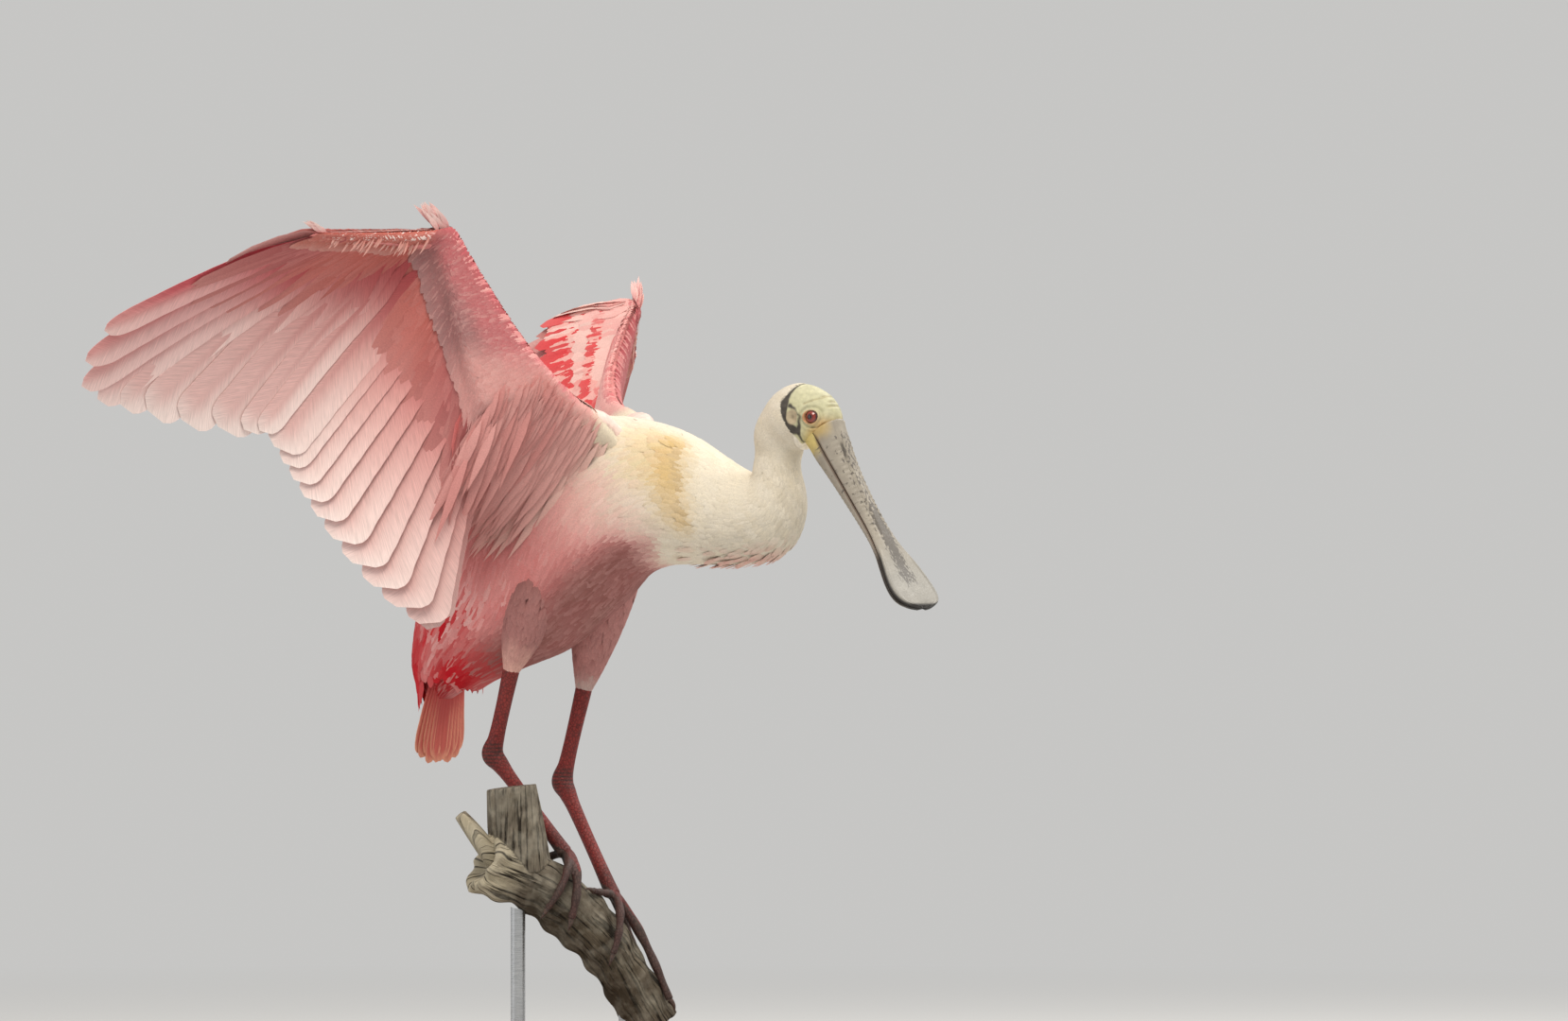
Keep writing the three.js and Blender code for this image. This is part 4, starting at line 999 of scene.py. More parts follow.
def arm_grid(wing, inset, rows=40, half=12):
    """Flesh of the arm: a rounded section from front to back edge, from inside the trunk to the wrist."""
    s = np.linspace(ARM_START, 1, rows)
    front, back = arm_edge(wing, s), arm_back(wing, s)
    chord = back - front
    upper = upper_side(wing, FEATHERS - (FEATHERS - PRIMARIES) * np.clip(s, 0, 0.96))
    upper = unit(upper - chord * (upper * chord).sum(-1, keepdims=True) / (chord**2).sum(-1, keepdims=True))
    way = unit(chord) * inset
    front, back = front + way, back - way
    c = (1 - np.cos((np.arange(half) + 0.5) / half * math.pi)) / 2
    along = np.concatenate([c, c[::-1]])
    sign = np.concatenate([np.ones(half), -np.ones(half)])
    height = (arm_thick(s) - inset)[:, None] * np.sqrt(np.maximum(np.sin(math.pi * along**0.7), 0.02))
    grid = front[:, None] + (back - front)[:, None] * along[None, :, None]
    return grid + upper[:, None] * (sign * height)[..., None]


def hand_size(s):
    """Half width and half thickness of the hand, from wrist 0 to end 1."""
    return 12 - 6 * s, 8 - 4 * s


def hand_grid(wing, inset, rows=24, sides=20):
    s = np.linspace(0, 1, rows)
    q = PRIMARIES * (1 - s)
    aim, _ = feather_aim(wing, q)
    upper = upper_side(wing, q)
    centre = mixed(joint(wing, "wrist"), joint(wing, "handEnd"), s * 1.02)
    angle = np.arange(sides) / sides * 2 * math.pi
    width, thick = ((size - inset)[:, None] for size in hand_size(s))
    grid = centre[:, None] + aim[:, None] * (5 + width * np.sin(angle))[..., None]
    return grid + upper[:, None] * (thick * np.cos(angle))[..., None]


WING_STEP = 2.0
WING_ROWS = 187
WING_REACH = 330
SHEET_END = 31.0
SHEET_DROP = 9.0


def wing_sheet(wing, face):
    """Surface that the coverts lie on. Rows go from the outermost primary inwards and columns go back from
    the leading edge in steps of WING_STEP. face is 1 for the upper side and -1 for the underside."""
    q = np.linspace(0, SHEET_END, WING_ROWS)
    d = np.arange(0, WING_REACH, WING_STEP)
    s_hand = 1 - np.minimum(q, PRIMARIES) / PRIMARIES
    aim, length = feather_aim(wing, q)
    upper = upper_side(wing, q)
    root = feather_root(wing, q)
    half, thick = hand_size(s_hand)
    hand_front = mixed(joint(wing, "wrist"), joint(wing, "handEnd"), s_hand) + aim * (5 - half)[:, None]
    on_hand = fall(PRIMARIES - 1.5, PRIMARIES + 0.5, q)
    edge = arm_edge(wing, arm_place(np.maximum(q, PRIMARIES)))
    edge = edge + (hand_front - edge) * on_hand[:, None]
    reach = np.linalg.norm(root - edge, axis=-1)
    t = np.clip(d[None] / np.maximum(reach, 1e-6)[:, None], 0, 1)
    past = np.maximum(d[None] - reach[:, None], 0)
    f = np.clip(past / length[:, None], 0, 1.2)
    bulge = camber_at(q)[:, None] * length[:, None] * np.sin(math.pi * np.minimum(f, 1) ** 0.8)
    points = edge[:, None] + (root - edge)[:, None] * t[..., None] + aim[:, None] * past[..., None]
    fan = (1.4 + 5.6 * np.clip(1 - f, 0, 1) ** 2) / 2
    s = arm_place(np.maximum(q, PRIMARIES))
    along = np.clip(d[None] / (reach + 14)[:, None], 0, 1)
    arm = arm_thick(s)[:, None] * np.sqrt(np.maximum(np.sin(math.pi * along**0.7), 0))
    flat = np.clip(d[None] / (2 * half)[:, None], 0, 1)
    hand = thick[:, None] * np.sqrt(np.maximum(1 - (2 * flat - 1) ** 2, 0))
    flesh = arm * (1 - on_hand)[:, None] + hand * on_hand[:, None]
    height = np.maximum(flesh, fan * ramp(0, 8, past)) - 1.0
    height = np.maximum(height, 0.2)
    for _ in range(4):
        height[:, 1:-1] = (height[:, :-2] + 2 * height[:, 1:-1] + height[:, 2:]) / 4
        points[1:-1] = (points[:-2] + 2 * points[1:-1] + points[2:]) / 4
    points = points + upper[:, None] * (bulge + face * height)[..., None]
    points[..., 2] -= (SHEET_DROP * ramp(27.3, SHEET_END, q))[:, None]
    grid = with_normals(points, False)
    facing = (grid[..., 3:] * upper[:, None] * face).sum(-1, keepdims=True)
    grid[..., 3:] *= np.sign(facing + 1e-9)
    return {"grid": grid, "reach": reach}


def on_sheet(q):
    return np.asarray(q, float) / SHEET_END * (WING_ROWS - 1)


def wing_tufts(sheet, q, d, length, width, height, ends, slide, shape=(0.4, 0.95, 1.0, 0.7), settle=0.0):
    """Coverts on a wing: root at feather number q and d millimetres behind the edge, drawn backwards."""
    places = map_places(np.clip(q / SHEET_END, 0, 1), np.clip(d / WING_REACH, 0, 1))
    u, v, reach = on_sheet(q), d / WING_STEP, length / WING_STEP
    return laid_tufts(sheet["grid"], False, u, v, slide, reach, height, width, ends, places, 0.08, shape,
                      settle=settle)


def reach_at(sheet, q):
    return np.interp(q, np.linspace(0, SHEET_END, WING_ROWS), sheet["reach"])


# Flight feathers, each a cambered vane with its shaft
FLIGHT_STATIONS = 44
FLIGHT_ROLL = math.radians(3.2)
FLIGHT_BEND = -0.012
FLIGHT_ACROSS = np.array([-1, -0.8, -0.5, -0.22, -0.06, 0.06, 0.22, 0.5, 0.8, 1])


def flight_vanes(name, node, mat, root, aim, upper, outward_way, length, start, inner, outer, camber,
                 roll, tint_of, pointed, bend=0.0):
    """Feathers as closed flattened tubes, one piece that replaces node.

    The middle line is root + aim f length + upper camber length sin(pi f^0.8) + outward bend f^2 length.
    Each half vane widens over the first third, and rounds off over the last share named pointed. roll
    raises the outer edge and drops the inner one, so that neighbours overlap.
    """
    a, count, side = FLIGHT_ACROSS, len(root), len(FLIGHT_ACROSS)
    start, inner, outer, camber, roll, tip, span = (
        np.broadcast_to(x, count)[:, None] for x in (start, inner, outer, camber, roll, pointed, length))
    f = start + (1 - start) * np.linspace(0, 1, FLIGHT_STATIONS)[None] ** 0.9
    line = root[:, None] + aim[:, None] * (span * f)[..., None]
    line = line + upper[:, None] * (camber * span * np.sin(math.pi * f**0.8))[..., None]
    line = line + outward_way[:, None] * (bend * span * f**2)[..., None]
    along = unit(np.gradient(line, axis=1))
    up = square_to(upper[:, None], along)
    out = unit(np.cross(along, up))
    out = out * np.sign((out * outward_way[:, None]).sum(-1, keepdims=True))
    grow = 0.16 + 0.84 * ramp(0.03, 0.36, f)
    end = np.sqrt(np.clip(1 - np.clip((f - (1 - tip)) / tip, 0, 1) ** 2.4, 0, 1))
    x = a * np.where(a >= 0, (outer * grow * end)[..., None], (inner * grow * end)[..., None])
    ragged = 0.5 * np.sin(f * 61 + 3 * np.arange(count)[:, None]) * np.sin(f * 23)
    x = x * (1 + 0.03 * ragged[..., None] * np.abs(a) ** 3)
    tilt = np.tan(roll)[..., None] * x + np.where(a < 0, -0.05, 0.02) * np.abs(x) * np.abs(a) ** 1.5
    rachis = (0.9 * (1 - f) + 0.16)[..., None] * bell(a, 0, 0.09)
    middle = line[:, :, None] + out[:, :, None] * x[..., None] + up[:, :, None] * tilt[..., None]
    top = middle + up[:, :, None] * (0.22 + rachis)[..., None]
    under = middle - up[:, :, None] * (0.22 + rachis * 1.1)[..., None]

    def both(upper_face, lower_face):
        """Values of each vane's root, rings and tip from those of its two faces."""
        value = np.concatenate([upper_face, lower_face[:, :, ::-1]], 2)
        ring = value[:, 1:-1].reshape(count, -1, value.shape[-1])
        return np.concatenate([value[:, :1, 0], ring, value[:, -1:, 0]], 1)

    points = both(top, under)
    points[:, 0], points[:, -1] = line[:, 0], line[:, -1]
    share = f[..., None] + 0 * x
    flat = np.broadcast_to(a, x.shape)
    tint = both(tint_of(share, flat, 1), tint_of(share, flat, -1))
    vane = np.stack([x, share * span[..., None] + np.arange(count)[:, None, None] * 37.0], -1)
    column = (a + 1) / 2 * 0.45
    cell = np.concatenate([column + 0.02, column[::-1] + 0.52])
    bake = np.stack(np.meshgrid(cell, np.linspace(0, 1, FLIGHT_STATIONS)[1:-1]), -1).reshape(-1, 2)
    bake = np.concatenate([[[0.25, 0]], bake, [[0.25, 1]]])
    column = np.stack([np.arange(count) / count, np.full(count, 0.02)], -1)
    bake = bake[None] * [1 / count, 0.96] + column[:, None]
    shift = (np.arange(count) * points.shape[1])[:, None, None]
    faces = [(f + shift).reshape(-1, f.shape[1]) for f in vane_faces(FLIGHT_STATIONS, 2 * side)]
    ring_rim = np.zeros(2 * side, bool)
    ring_rim[[0, side - 1, side, 2 * side - 1]] = True
    rim = np.tile(np.concatenate([[True], np.tile(ring_rim, FLIGHT_STATIONS - 2), [True]]), count)
    maps = {"vane": both(vane, vane).reshape(-1, 2), "OFBake": bake.reshape(-1, 2)}
    points = points.reshape(-1, 3)
    piece(name, points, outward(points, faces), mat, [node], tint.reshape(-1, 3), maps, rim=rim)


def flight_tint(q, seed):
    """Colour of a flight feather by share of its length, side of the shaft (1 outer, -1 inner) and face: deep
    rose near the shaft and the base, pale towards the inner edge and the tip; outer primaries redder."""
    own = np.random.default_rng(seed)
    tone = own.uniform(-0.06, 0.06, (len(q), 1, 1))
    outerness = fall(1, 5.5, q)[:, None, None]
    inward = ramp(16, 22, q)[:, None, None]
    late = ramp(8, 12, q)[:, None, None]

    def tint(f, a, face):
        deep = colour("c8505a") if face > 0 else colour("b65456")
        base = mixed(deep, "cf7f7c", ramp(0.15, 0.55, f))
        pale = mixed("ecbab4", "f8e6e0", ramp(0.35, 0.95, f))
        inner_vane = ramp(0.02, 0.75, -a)
        fade = ramp(0, 1, (f + tone - 0.12 - 0.14 * late) / (0.5 + 0.16 * late))
        fade = np.clip(fade * (0.42 + 0.58 * inner_vane), 0, 1)
        out = mixed(base, pale, fade)
        out = mixed(out, "ffe6e0", 0.6 * (1 - late) * ramp(0.25, 0.65, f) * (0.35 + 0.65 * inner_vane))
        out = mixed(out, "eec4bd", 0.35 * late * ramp(0.3, 0.6, f))
        edge = ramp(0.9, 1.0, f)
        out = mixed(out, "f8e8e2", 0.7 * edge)
        red = mixed("bf4450", "e0a09c", ramp(0.6, 1.0, f) * 0.8)
        out = mixed(out, red, outerness * (0.45 + 0.45 * ramp(-0.4, 0.6, a)))
        out = mixed(out, "c97a76", 0.45 * inward)
        shaft = bell(a, 0, 0.08)
        return mixed(out, "b05a5c", 0.35 * shaft * fall(0.5, 0.95, f))

    return tint


FLIGHT_GROUPS = [("primaries", 0, PRIMARIES), ("secondaries", PRIMARIES, PRIMARIES + SECONDARIES),
                 ("tertials", PRIMARIES + SECONDARIES, FEATHERS)]


def evened(points, way, rounds=8):
    """Points of neighbouring feathers, each moved along way towards the plane of those beside it."""
    for _ in range(rounds):
        middle = points.copy()
        middle[1:-1] = (points[:-2] + 2 * points[1:-1] + points[2:]) / 4
        points = points + way * ((middle - points) * way).sum(-1, keepdims=True)
    return points


def place_flight(wing):
    every = np.arange(FEATHERS) + 0.5
    all_root, all_upper = feather_root(wing, every), upper_side(wing, every)
    all_aim, all_length = feather_aim(wing, every)
    even_root = evened(all_root, all_upper)
    even_tip = evened(all_root + all_aim * all_length[:, None], all_upper)
    for _ in range(3):
        all_upper[1:-1] = unit(all_upper[:-2] + 2 * all_upper[1:-1] + all_upper[2:])
    for group, low, high in FLIGHT_GROUPS:
        q = every[low:high]
        root, upper = even_root[low:high], all_upper[low:high]
        length = np.linalg.norm(even_tip - even_root, axis=-1)[low:high]
        aim = unit(even_tip - even_root)[low:high]
        beside, before = (feather_root(wing, at) + feather_aim(wing, at)[0] * length[:, None]
                          for at in (q - 0.5, q + 0.5))
        way = unit(beside - root - aim * length[:, None])
        spread = np.linalg.norm(before - beside, axis=-1)
        loose = fall(1.5, 5, q)
        inner = np.clip(spread * (1.05 - 0.4 * loose), 11, 27)
        outer = np.clip(spread * (0.62 - 0.2 * loose), 6, 16)
        length = length + 13 * bell(q, 1.8, 1.4)
        node = f"wing_{wing['name']}_{group}"
        flight_vanes(f"{node}_vanes", node, FLIGHT, root, aim, upper, way, length,
                     12 / length, inner, outer, camber_at(q), FLIGHT_ROLL, flight_tint(q, 40 + low),
                     0.075 + 0.07 * loose, FLIGHT_BEND)


# Coverts
def by_shoulder(out, q, share):
    """Turns the wing's colours into pale pink and cream where the arm meets the body."""
    out = mixed(out, "e2a9a2", 0.8 * ramp(23.5, 26, q + share))
    return mixed(out, CREAM, ramp(26.6, 29.2, q + 0.8 * share))


def upper_tint(q, points, share):
    """Colour of the coverts over the wing: carmine patch on the forearm, mottled and edged with pale pink."""
    mottle, fine = wave_noise(points, 26, 31), wave_noise(points, 9, 32)
    out = mixed("e99c9a", "f4c3bb", 0.5 + 0.5 * mottle)
    out = mixed(out, "f3cdc4", 0.8 * ramp(0.08, 0.2, share) * fall(0.4, 0.5, share))
    patch = ramp(0.38, 0.56, share + 0.1 * fine) * fall(1.9, 2.5, share) * ramp(7, 11, q)
    patch = np.clip(patch * fall(20.5, 23.5, q), 0, 1)
    red = mixed("d8333a", "e04a4e", 0.5 + 0.5 * mottle)
    pale = rng.random(len(q)) + 0.2 * fine > 0.7
    out = mixed(out, mixed(red, "f3bdb4", 0.85 * pale), patch)
    return by_shoulder(out, q, share)


def under_tint(q, points, share):
    """Colour of the coverts under the wing: rose along the edge, greyish mauve behind it."""
    mottle, fine = wave_noise(points, 22, 33), wave_noise(points, 8, 34)
    out = mixed("9e5f60", "865252", 0.5 + 0.5 * mottle)
    out = mixed("b4565b", out, ramp(0.2, 0.5, share + 0.1 * fine))
    out = mixed(out, "cf9691", 0.4 * ramp(0.3, 1, fine) + 0.35 * (rng.random(len(q)) > 0.85))
    out = mixed(out, mixed("c9827d", "d79a94", 0.5 + 0.5 * fine), 0.9 * ramp(18.5, 22.5, q + 4 * share))
    out = mixed(out, "bf6350", 0.75 * fall(8.5, 10, q))
    return by_shoulder(out, q, share)


def under_deep(q, points, share):
    """Colour of the long coverts under the wing: brownish rose."""
    return mixed("a04c4e", "b96a69", rng.random(len(q)))


def jitter(count, spread):
    return rng.uniform(-spread, spread, count)


def covert_rows(sheet, tint, q_low, q_high, d_of, row_count, per_row, length, width, height, tip, tip_share,
                shape=(0.5, 0.95, 1.0, 0.75), settle=0.1, spread=1.2, vary=0.12, longer=None, root=None):
    """Rows of coverts from d_of(q, row share). Later rows lie nearer the edge, over the earlier ones.
    length and height are the value in the first row and its change up to the last."""
    parts = []
    for r in range(row_count):
        share = r / max(row_count - 1, 1)
        q = np.linspace(q_low, q_high, per_row) + (0.5 * (r % 2)) * (q_high - q_low) / per_row
        q = np.clip(q + jitter(per_row, 0.12), 0, SHEET_END - 0.2)
        d = np.maximum(d_of(q, share) + jitter(per_row, spread), 0.5)
        points, _ = sample(sheet["grid"], on_sheet(q), d / WING_STEP, False)
        base = tint(q, points, d / np.maximum(reach_at(sheet, q) + 14, 1))
        base = base * rng.uniform(0.93, 1.06, (per_row, 1))
        end = mixed(base, tip, tip_share)
        if root is not None:
            base = mixed(base, root, 0.3 * ramp(2, 5, q) * fall(13, 18, q))
        size = rng.uniform(1 - vary, 1 + vary, per_row)
        own = (length[0] + length[1] * share) * (1 if longer is None else 1 + longer(q, share)) * size
        tall = height[0] + height[1] * share
        parts.append(wing_tufts(sheet, q, d, own, width * size, tall, (base, end), 0.0, shape, settle))
    return parts


def place_coverts(wing):
    upper, under = wing_sheet(wing, 1), wing_sheet(wing, -1)
    plain, wide, pointed = (0.5, 0.95, 1.0, 0.75), (0.7, 1.0, 1.0, 0.7), (0.8, 1.0, 0.9, 0.6)
    pale = PINK_WHITE
    near = lambda by, sheet=upper: lambda q, share: np.maximum(reach_at(sheet, q) - by, 1)
    past = lambda q, share: reach_at(upper, q) + 24 - 14 * share
    inner = lambda q, share: reach_at(upper, q) * (1.25 - 0.8 * share)
    over = lambda add, sheet: lambda q, share: (reach_at(sheet, q) + add) * (1 - 0.97 * share)
    hand = lambda depth: lambda q, share: depth * (1 - share)
    first = lambda q, share: 0.3125 * fall(6, 16, q)
    last = lambda q, share: 0.3 * fall(3, 10, q) * (1 - share)
    # feather numbers, distance behind the edge, rows, number in a row, length, width, height, colours
    pieces = {
        "upper_greater_coverts": (upper, upper_tint, [
            (0.3, 27.7, near(2), 1, 84, (64, 0), 22, (4, 0), pale, 0.12, wide, 0.62, 1.2, 0.12, first),
            (9.8, 25, past, 2, 110, (54, 0), 11, (3.6, 0), pale, 0.1, plain, 0.6, 7),
            (0.2, 27.8, near(9), 2, 96, (50, -8), 17, (5.2, 0), pale, 0.1, wide, 0.45, 5),
            (26.2, 30.9, inner, 5, 44, (66, -8), 10, (7.5, -3), pale, 0.1, plain, 0.1, 6),
        ]),
        "upper_coverts": (upper, upper_tint, [
            (9.5, 30.8, over(2, upper), 17, 150, (27, -13), 6.5, (4.4, -2.4), pale, 0.12),
            (0, 9.8, hand(13), 6, 90, (26, -12), 8, (4, -2), pale, 0.3, plain, 0.2),
        ]),
        "under_greater_coverts": (under, under_deep, [
            (0.3, 27.7, near(1, under), 4, 110, (86, -24), 13, (3.4, 0.6), "d59d96", 0.62, pointed, 0.85, 9,
             0.28, last, SALMON),
        ]),
        "under_coverts": (under, under_tint, [
            (9.5, 30.8, over(4, under), 17, 122, (25, -12), 7.5, (4.6, -2.6), pale, 0.22),
            (0, 9.8, hand(10), 5, 90, (20, -9), 6, (3.6, -1.8), pale, 0.3, plain, 0.2),
        ]),
    }
    for name, (sheet, tint, batches) in pieces.items():
        parts = [part for batch in batches for part in covert_rows(sheet, tint, *batch)]
        coat_piece(f"wing_{wing['name']}_{name}", parts)
    place_armpit(wing, under)
    return upper, under


ARMPIT_FEATHERS, EDGE_FEATHERS = 1500, 1300


def place_armpit(wing, under):
    """Long soft feathers that fill the angle between the arm and the body. They start on the arm's underside
    or a little down their own way, and run back and down just outside the flank."""
    count = ARMPIT_FEATHERS
    side = wing["side"]
    q = rng.uniform(21.8, 30.8, count)
    d = reach_at(under, q) * rng.uniform(0.2, 1.0, count) + rng.uniform(0, 8, count)
    start, normal = sample(under["grid"], on_sheet(q), d / WING_STEP, False)
    way = feather_aim(wing, np.minimum(q, FEATHERS))[0]
    way = mixed(way, np.array([-0.64, 0.0, -0.77]), ramp(20.5, 23.5, q))
    way[:, 1] = side * 0.05
    way = unit(way + rng.normal(0, 0.035, (count, 3)))
    start = start + way * rng.uniform(-14, 44, (count, 1)) + normal * rng.uniform(0.6, 4.2, (count, 1))
    s = np.linspace(0, 1, TUFT_STATIONS)
    length = rng.uniform(45, 86, count)
    out_way = unit(mixed(normal, np.array([0.2, side * 1.0, 0.0]), 0.65))
    spine = start[:, None] + way[:, None] * (length[:, None] * s)[..., None]
    spine = spine + out_way[:, None] * (2.4 * np.sin(math.pi * s**0.8) - 3.5 * s)[None, :, None]
    half = np.broadcast_to(np.array([0, 0.7, 1.0, 0.85, 0.45, 0]) * 3.8, (count, TUFT_STATIONS))
    tone = rng.random(count)
    base = mixed("d38e89", "dfa49e", tone)
    base = mixed(base, "e2aea6", 0.7 * ramp(24.5, 27.5, q))
    base = mixed(base, "e8c7b9", ramp(28, 30.5, q))
    tints = mixed(base[:, None], mixed(base, "cf8d88", 0.5)[:, None], s)
    normals = np.broadcast_to(out_way[:, None], spine.shape)
    places = map_places(q / SHEET_END, d / WING_REACH)
    part = tuft_mesh(spine, normals, half, half * 0.05 + 0.1, tints, places, 0.06)
    coat_piece(f"wing_{wing['name']}_armpit_feathers", [part])


def spikes(base_point, out_ways, aim_way, count, reach, spread, root_codes, tip_code, width):
    """Free tufts: straight spines that bend a little outward, from places round one point."""
    side_a, side_b, normal = out_ways
    start = base_point + side_a * rng.uniform(-3, spread, (count, 1))
    start = start + side_b * rng.uniform(-4, 4, (count, 1))
    way = unit(aim_way + rng.normal(0, 0.09, (count, 3)))
    s = np.linspace(0, 1, TUFT_STATIONS)
    span = rng.uniform(0.6, 1.05, count) * reach
    spine = start[:, None] + way[:, None] * (span[:, None] * s)[..., None]
    spine = spine + side_a * (span[:, None] * 0.22 * s**2)[..., None]
    half = np.broadcast_to(np.array([0, 0.7, 1.0, 0.95, 0.6, 0]) * width / 2, (count, TUFT_STATIONS))
    base = mixed(*root_codes, rng.random(count))
    tints = mixed(base[:, None], tip_code, s * 0.7)
    places = rng.uniform(0.05, 0.95, (count, 2))
    normals = np.broadcast_to(normal, spine.shape)
    return tuft_mesh(spine, normals, half, half * 0.15 + 0.05, tints, places, 0.1)


def place_edge(wing, upper, under):
    """Small feathers along the leading edge, the thumb's tuft at the wrist and the one at the hand's end."""
    parts, count = [], EDGE_FEATHERS
    for sheet in (upper, under):
        q = rng.uniform(0, 30.5, count)
        d = rng.uniform(0.2, 4.5, count)
        points, _ = sample(sheet["grid"], on_sheet(q), d / WING_STEP, False)
        tone = np.clip(0.45 + 0.8 * wave_noise(points, 7, 37), 0, 1)
        base = mixed("c75560", "eab0a9", tone)
        on_hand = fall(8.6, 9.6, q) * fall(1.8, 3.0, d) * ramp(0, 1.5, q)
        base = mixed(base, "f8e6df", 0.9 * on_hand)
        base = by_shoulder(base, q, 0 * q)
        ends = (base, mixed(base, PINK_WHITE, 0.25))
        parts.append(wing_tufts(sheet, q, d, 11, 4.2, 1.8, ends, slide=rng.normal(0, 0.5, count)))
    coat_piece(f"wing_{wing['name']}_edge_coverts", parts)
    wrist, end = joint(wing, "wrist"), joint(wing, "handEnd")
    outward_way = unit(end - wrist)
    upper_way = upper_side(wing, np.array([9.0]))[0]
    aim = feather_aim(wing, np.array([9.0]))[0][0]
    ways = (outward_way, upper_way, upper_way)
    up, white = np.array([0, 0, 0.8]), "fbe9e2"
    tufts = [
        spikes(wrist - aim * 5, ways, up + outward_way * 0.35, 44, 25, 9, ("d9777c", "f0c2bb"), white, 4.2),
        spikes(end - aim * 2, ways, up + outward_way * 0.9, 20, 12, 6, ("e0908f", "f0c2bb"), white, 2.6),
    ]
    for q in rng.uniform(1.5, 9.2, 24):
        back = rng.uniform(7, 12)
        start = under["grid"][int(on_sheet(q)), int(max(back, 4) / WING_STEP), :3]
        hang = np.array([0, 0, -0.9]) + feather_aim(wing, np.array([q]))[0][0] * rng.uniform(0.2, 0.8)
        reach = rng.uniform(8, 19)
        tufts.append(spikes(start, ways, hang, 2, reach, 3, ("cf7f74", "dd9f94"), "e9bdb2", 1.7))
    coat_piece(f"wing_{wing['name']}_hand_tufts", tufts)


# Tail
def tail_tint(f, a, face):
    base = mixed("c94a4c", "d4675c", ramp(0.3, 0.9, f))
    edge = np.clip(ramp(0.6, 1.0, np.abs(a)) * ramp(0.4, 0.8, f) + ramp(0.9, 1.0, f), 0, 1)
    out = mixed(base, "f0ab8c", 0.8 * edge)
    shaft = bell(a, 0, 0.1)
    return mixed(out, "c2605a", 0.3 * shaft)


def place_tail():
    v = (np.arange(TAIL_FEATHERS) + 0.5) / TAIL_FEATHERS * 2 - 1
    root = np.stack([TAIL_ROOT[0] - 3 * v**2 + 8, v * TAIL_HALF_ROOT * 0.7, TAIL_ROOT[1] + 0 * v + 12], -1)
    reach = 1 - 0.1 * v**2 + 0.035 * np.sin(np.arange(TAIL_FEATHERS) * 2.6)
    tip_side = v * (TAIL_HALF_ROOT + (TAIL_HALF_TIP - 6 - TAIL_HALF_ROOT) * reach)
    tip_x, tip_z = TAIL_ROOT[0] + TAIL_TIP_BACK * reach - 3 * v**2, TAIL_ROOT[1] - TAIL_TIP_DROP * reach
    tip = np.stack([tip_x, tip_side, tip_z], -1)
    length = np.linalg.norm(tip - root, axis=-1)
    aim = unit(tip - root)
    back = square_to(np.array([-1.0, 0, 0.15]), aim)
    root = root + back * (1.6 * (1 - np.abs(v)))[:, None]
    way = np.array([0, 1.0, 0]) * np.sign(v)[:, None]
    flight_vanes("tail_vanes", "tail", TAIL, root, aim, back, way, length, 20 / length, 13, 9,
                 0.03, -0.06, tail_tint, 0.2)


# Perch and legs
def distance_along(points):
    return np.concatenate([[0], np.cumsum(np.linalg.norm(np.diff(points, axis=0), axis=-1))])


def branch_table():
    """Branch centre by distance along it: a centripetal spline through the course, measured."""
    keys = np.array(BRANCH_COURSE, float)
    keys = np.concatenate([[2 * keys[0] - keys[1]], keys, [2 * keys[-1] - keys[-2]]])
    out = []
    for i in range(1, len(keys) - 2):
        level = list(keys[i - 1 : i + 3])
        knot = np.cumsum([0, *np.linalg.norm(np.diff(level, axis=0), axis=-1) ** 0.5])
        t = np.linspace(knot[1], knot[2], 60, endpoint=i == len(keys) - 3)[:, None]
        for first, last in (((0, 1, 2), (1, 2, 3)), ((0, 1), (2, 3)), ((1,), (2,))):
            level = [((knot[j] - t) * p + (t - knot[k]) * q) / (knot[j] - knot[k])
                     for k, j, p, q in zip(first, last, level[:-1], level[1:])]
        out.append(level[0])
    points = np.concatenate(out)
    return distance_along(points), points


BRANCH_ALONG, BRANCH_LINE = branch_table()
BRANCH_SPAN = BRANCH_ALONG[-1]


def branch_centre(along):
    along = np.clip(along, 0, BRANCH_SPAN)
    return np.stack([np.interp(along, BRANCH_ALONG, BRANCH_LINE[:, k]) for k in range(3)], -1)


def branch_axis(along):
    along = np.clip(along, 0.5, BRANCH_SPAN - 0.5)
    return unit(branch_centre(along + 0.5) - branch_centre(along - 0.5))


def branch_radius(along):
    keys = numbered([[r] for r in BRANCH_RADIUS])
    return rows_at(keys, np.clip(along / BRANCH_SPAN, 0, 1) * (len(keys) - 1))[..., 0]


def branch_out(along, turn):
    """Outward direction at a turn in degrees round the branch, 0 on its upper side."""
    axis = branch_axis(along)
    up = square_to(np.array([0, 0, 1.0]), axis)
    side = unit(np.cross(axis, up))
    angle = np.radians(np.asarray(turn, float))[..., None]
    return up * np.cos(angle) + side * np.sin(angle)


def on_branch(along, turn, over):
    along = np.asarray(along, float)
    return branch_centre(along) + branch_out(along, turn) * (branch_radius(along) + over)[..., None]


def tube(points, radii, rows, sides, side_way=(0, 1, 0)):
    """Rings round a smooth line through the points: cubic through both lists, by distance along them."""
    points, radii = np.asarray(points, float), np.asarray(radii, float)
    span = distance_along(points)
    keys = np.column_stack([span, points, radii])
    value = rows_at(keys, np.linspace(0, span[-1], rows))
    centre, radius = value[:, :3], value[:, 3]
    along = unit(np.gradient(centre, axis=0))
    side = square_to(np.asarray(side_way, float), along)
    other = np.cross(along, side)
    angle = np.arange(sides) / sides * 2 * math.pi
    ring = side[:, None] * np.cos(angle)[:, None] + other[:, None] * np.sin(angle)[:, None]
    return centre[:, None] + ring * radius[:, None, None]


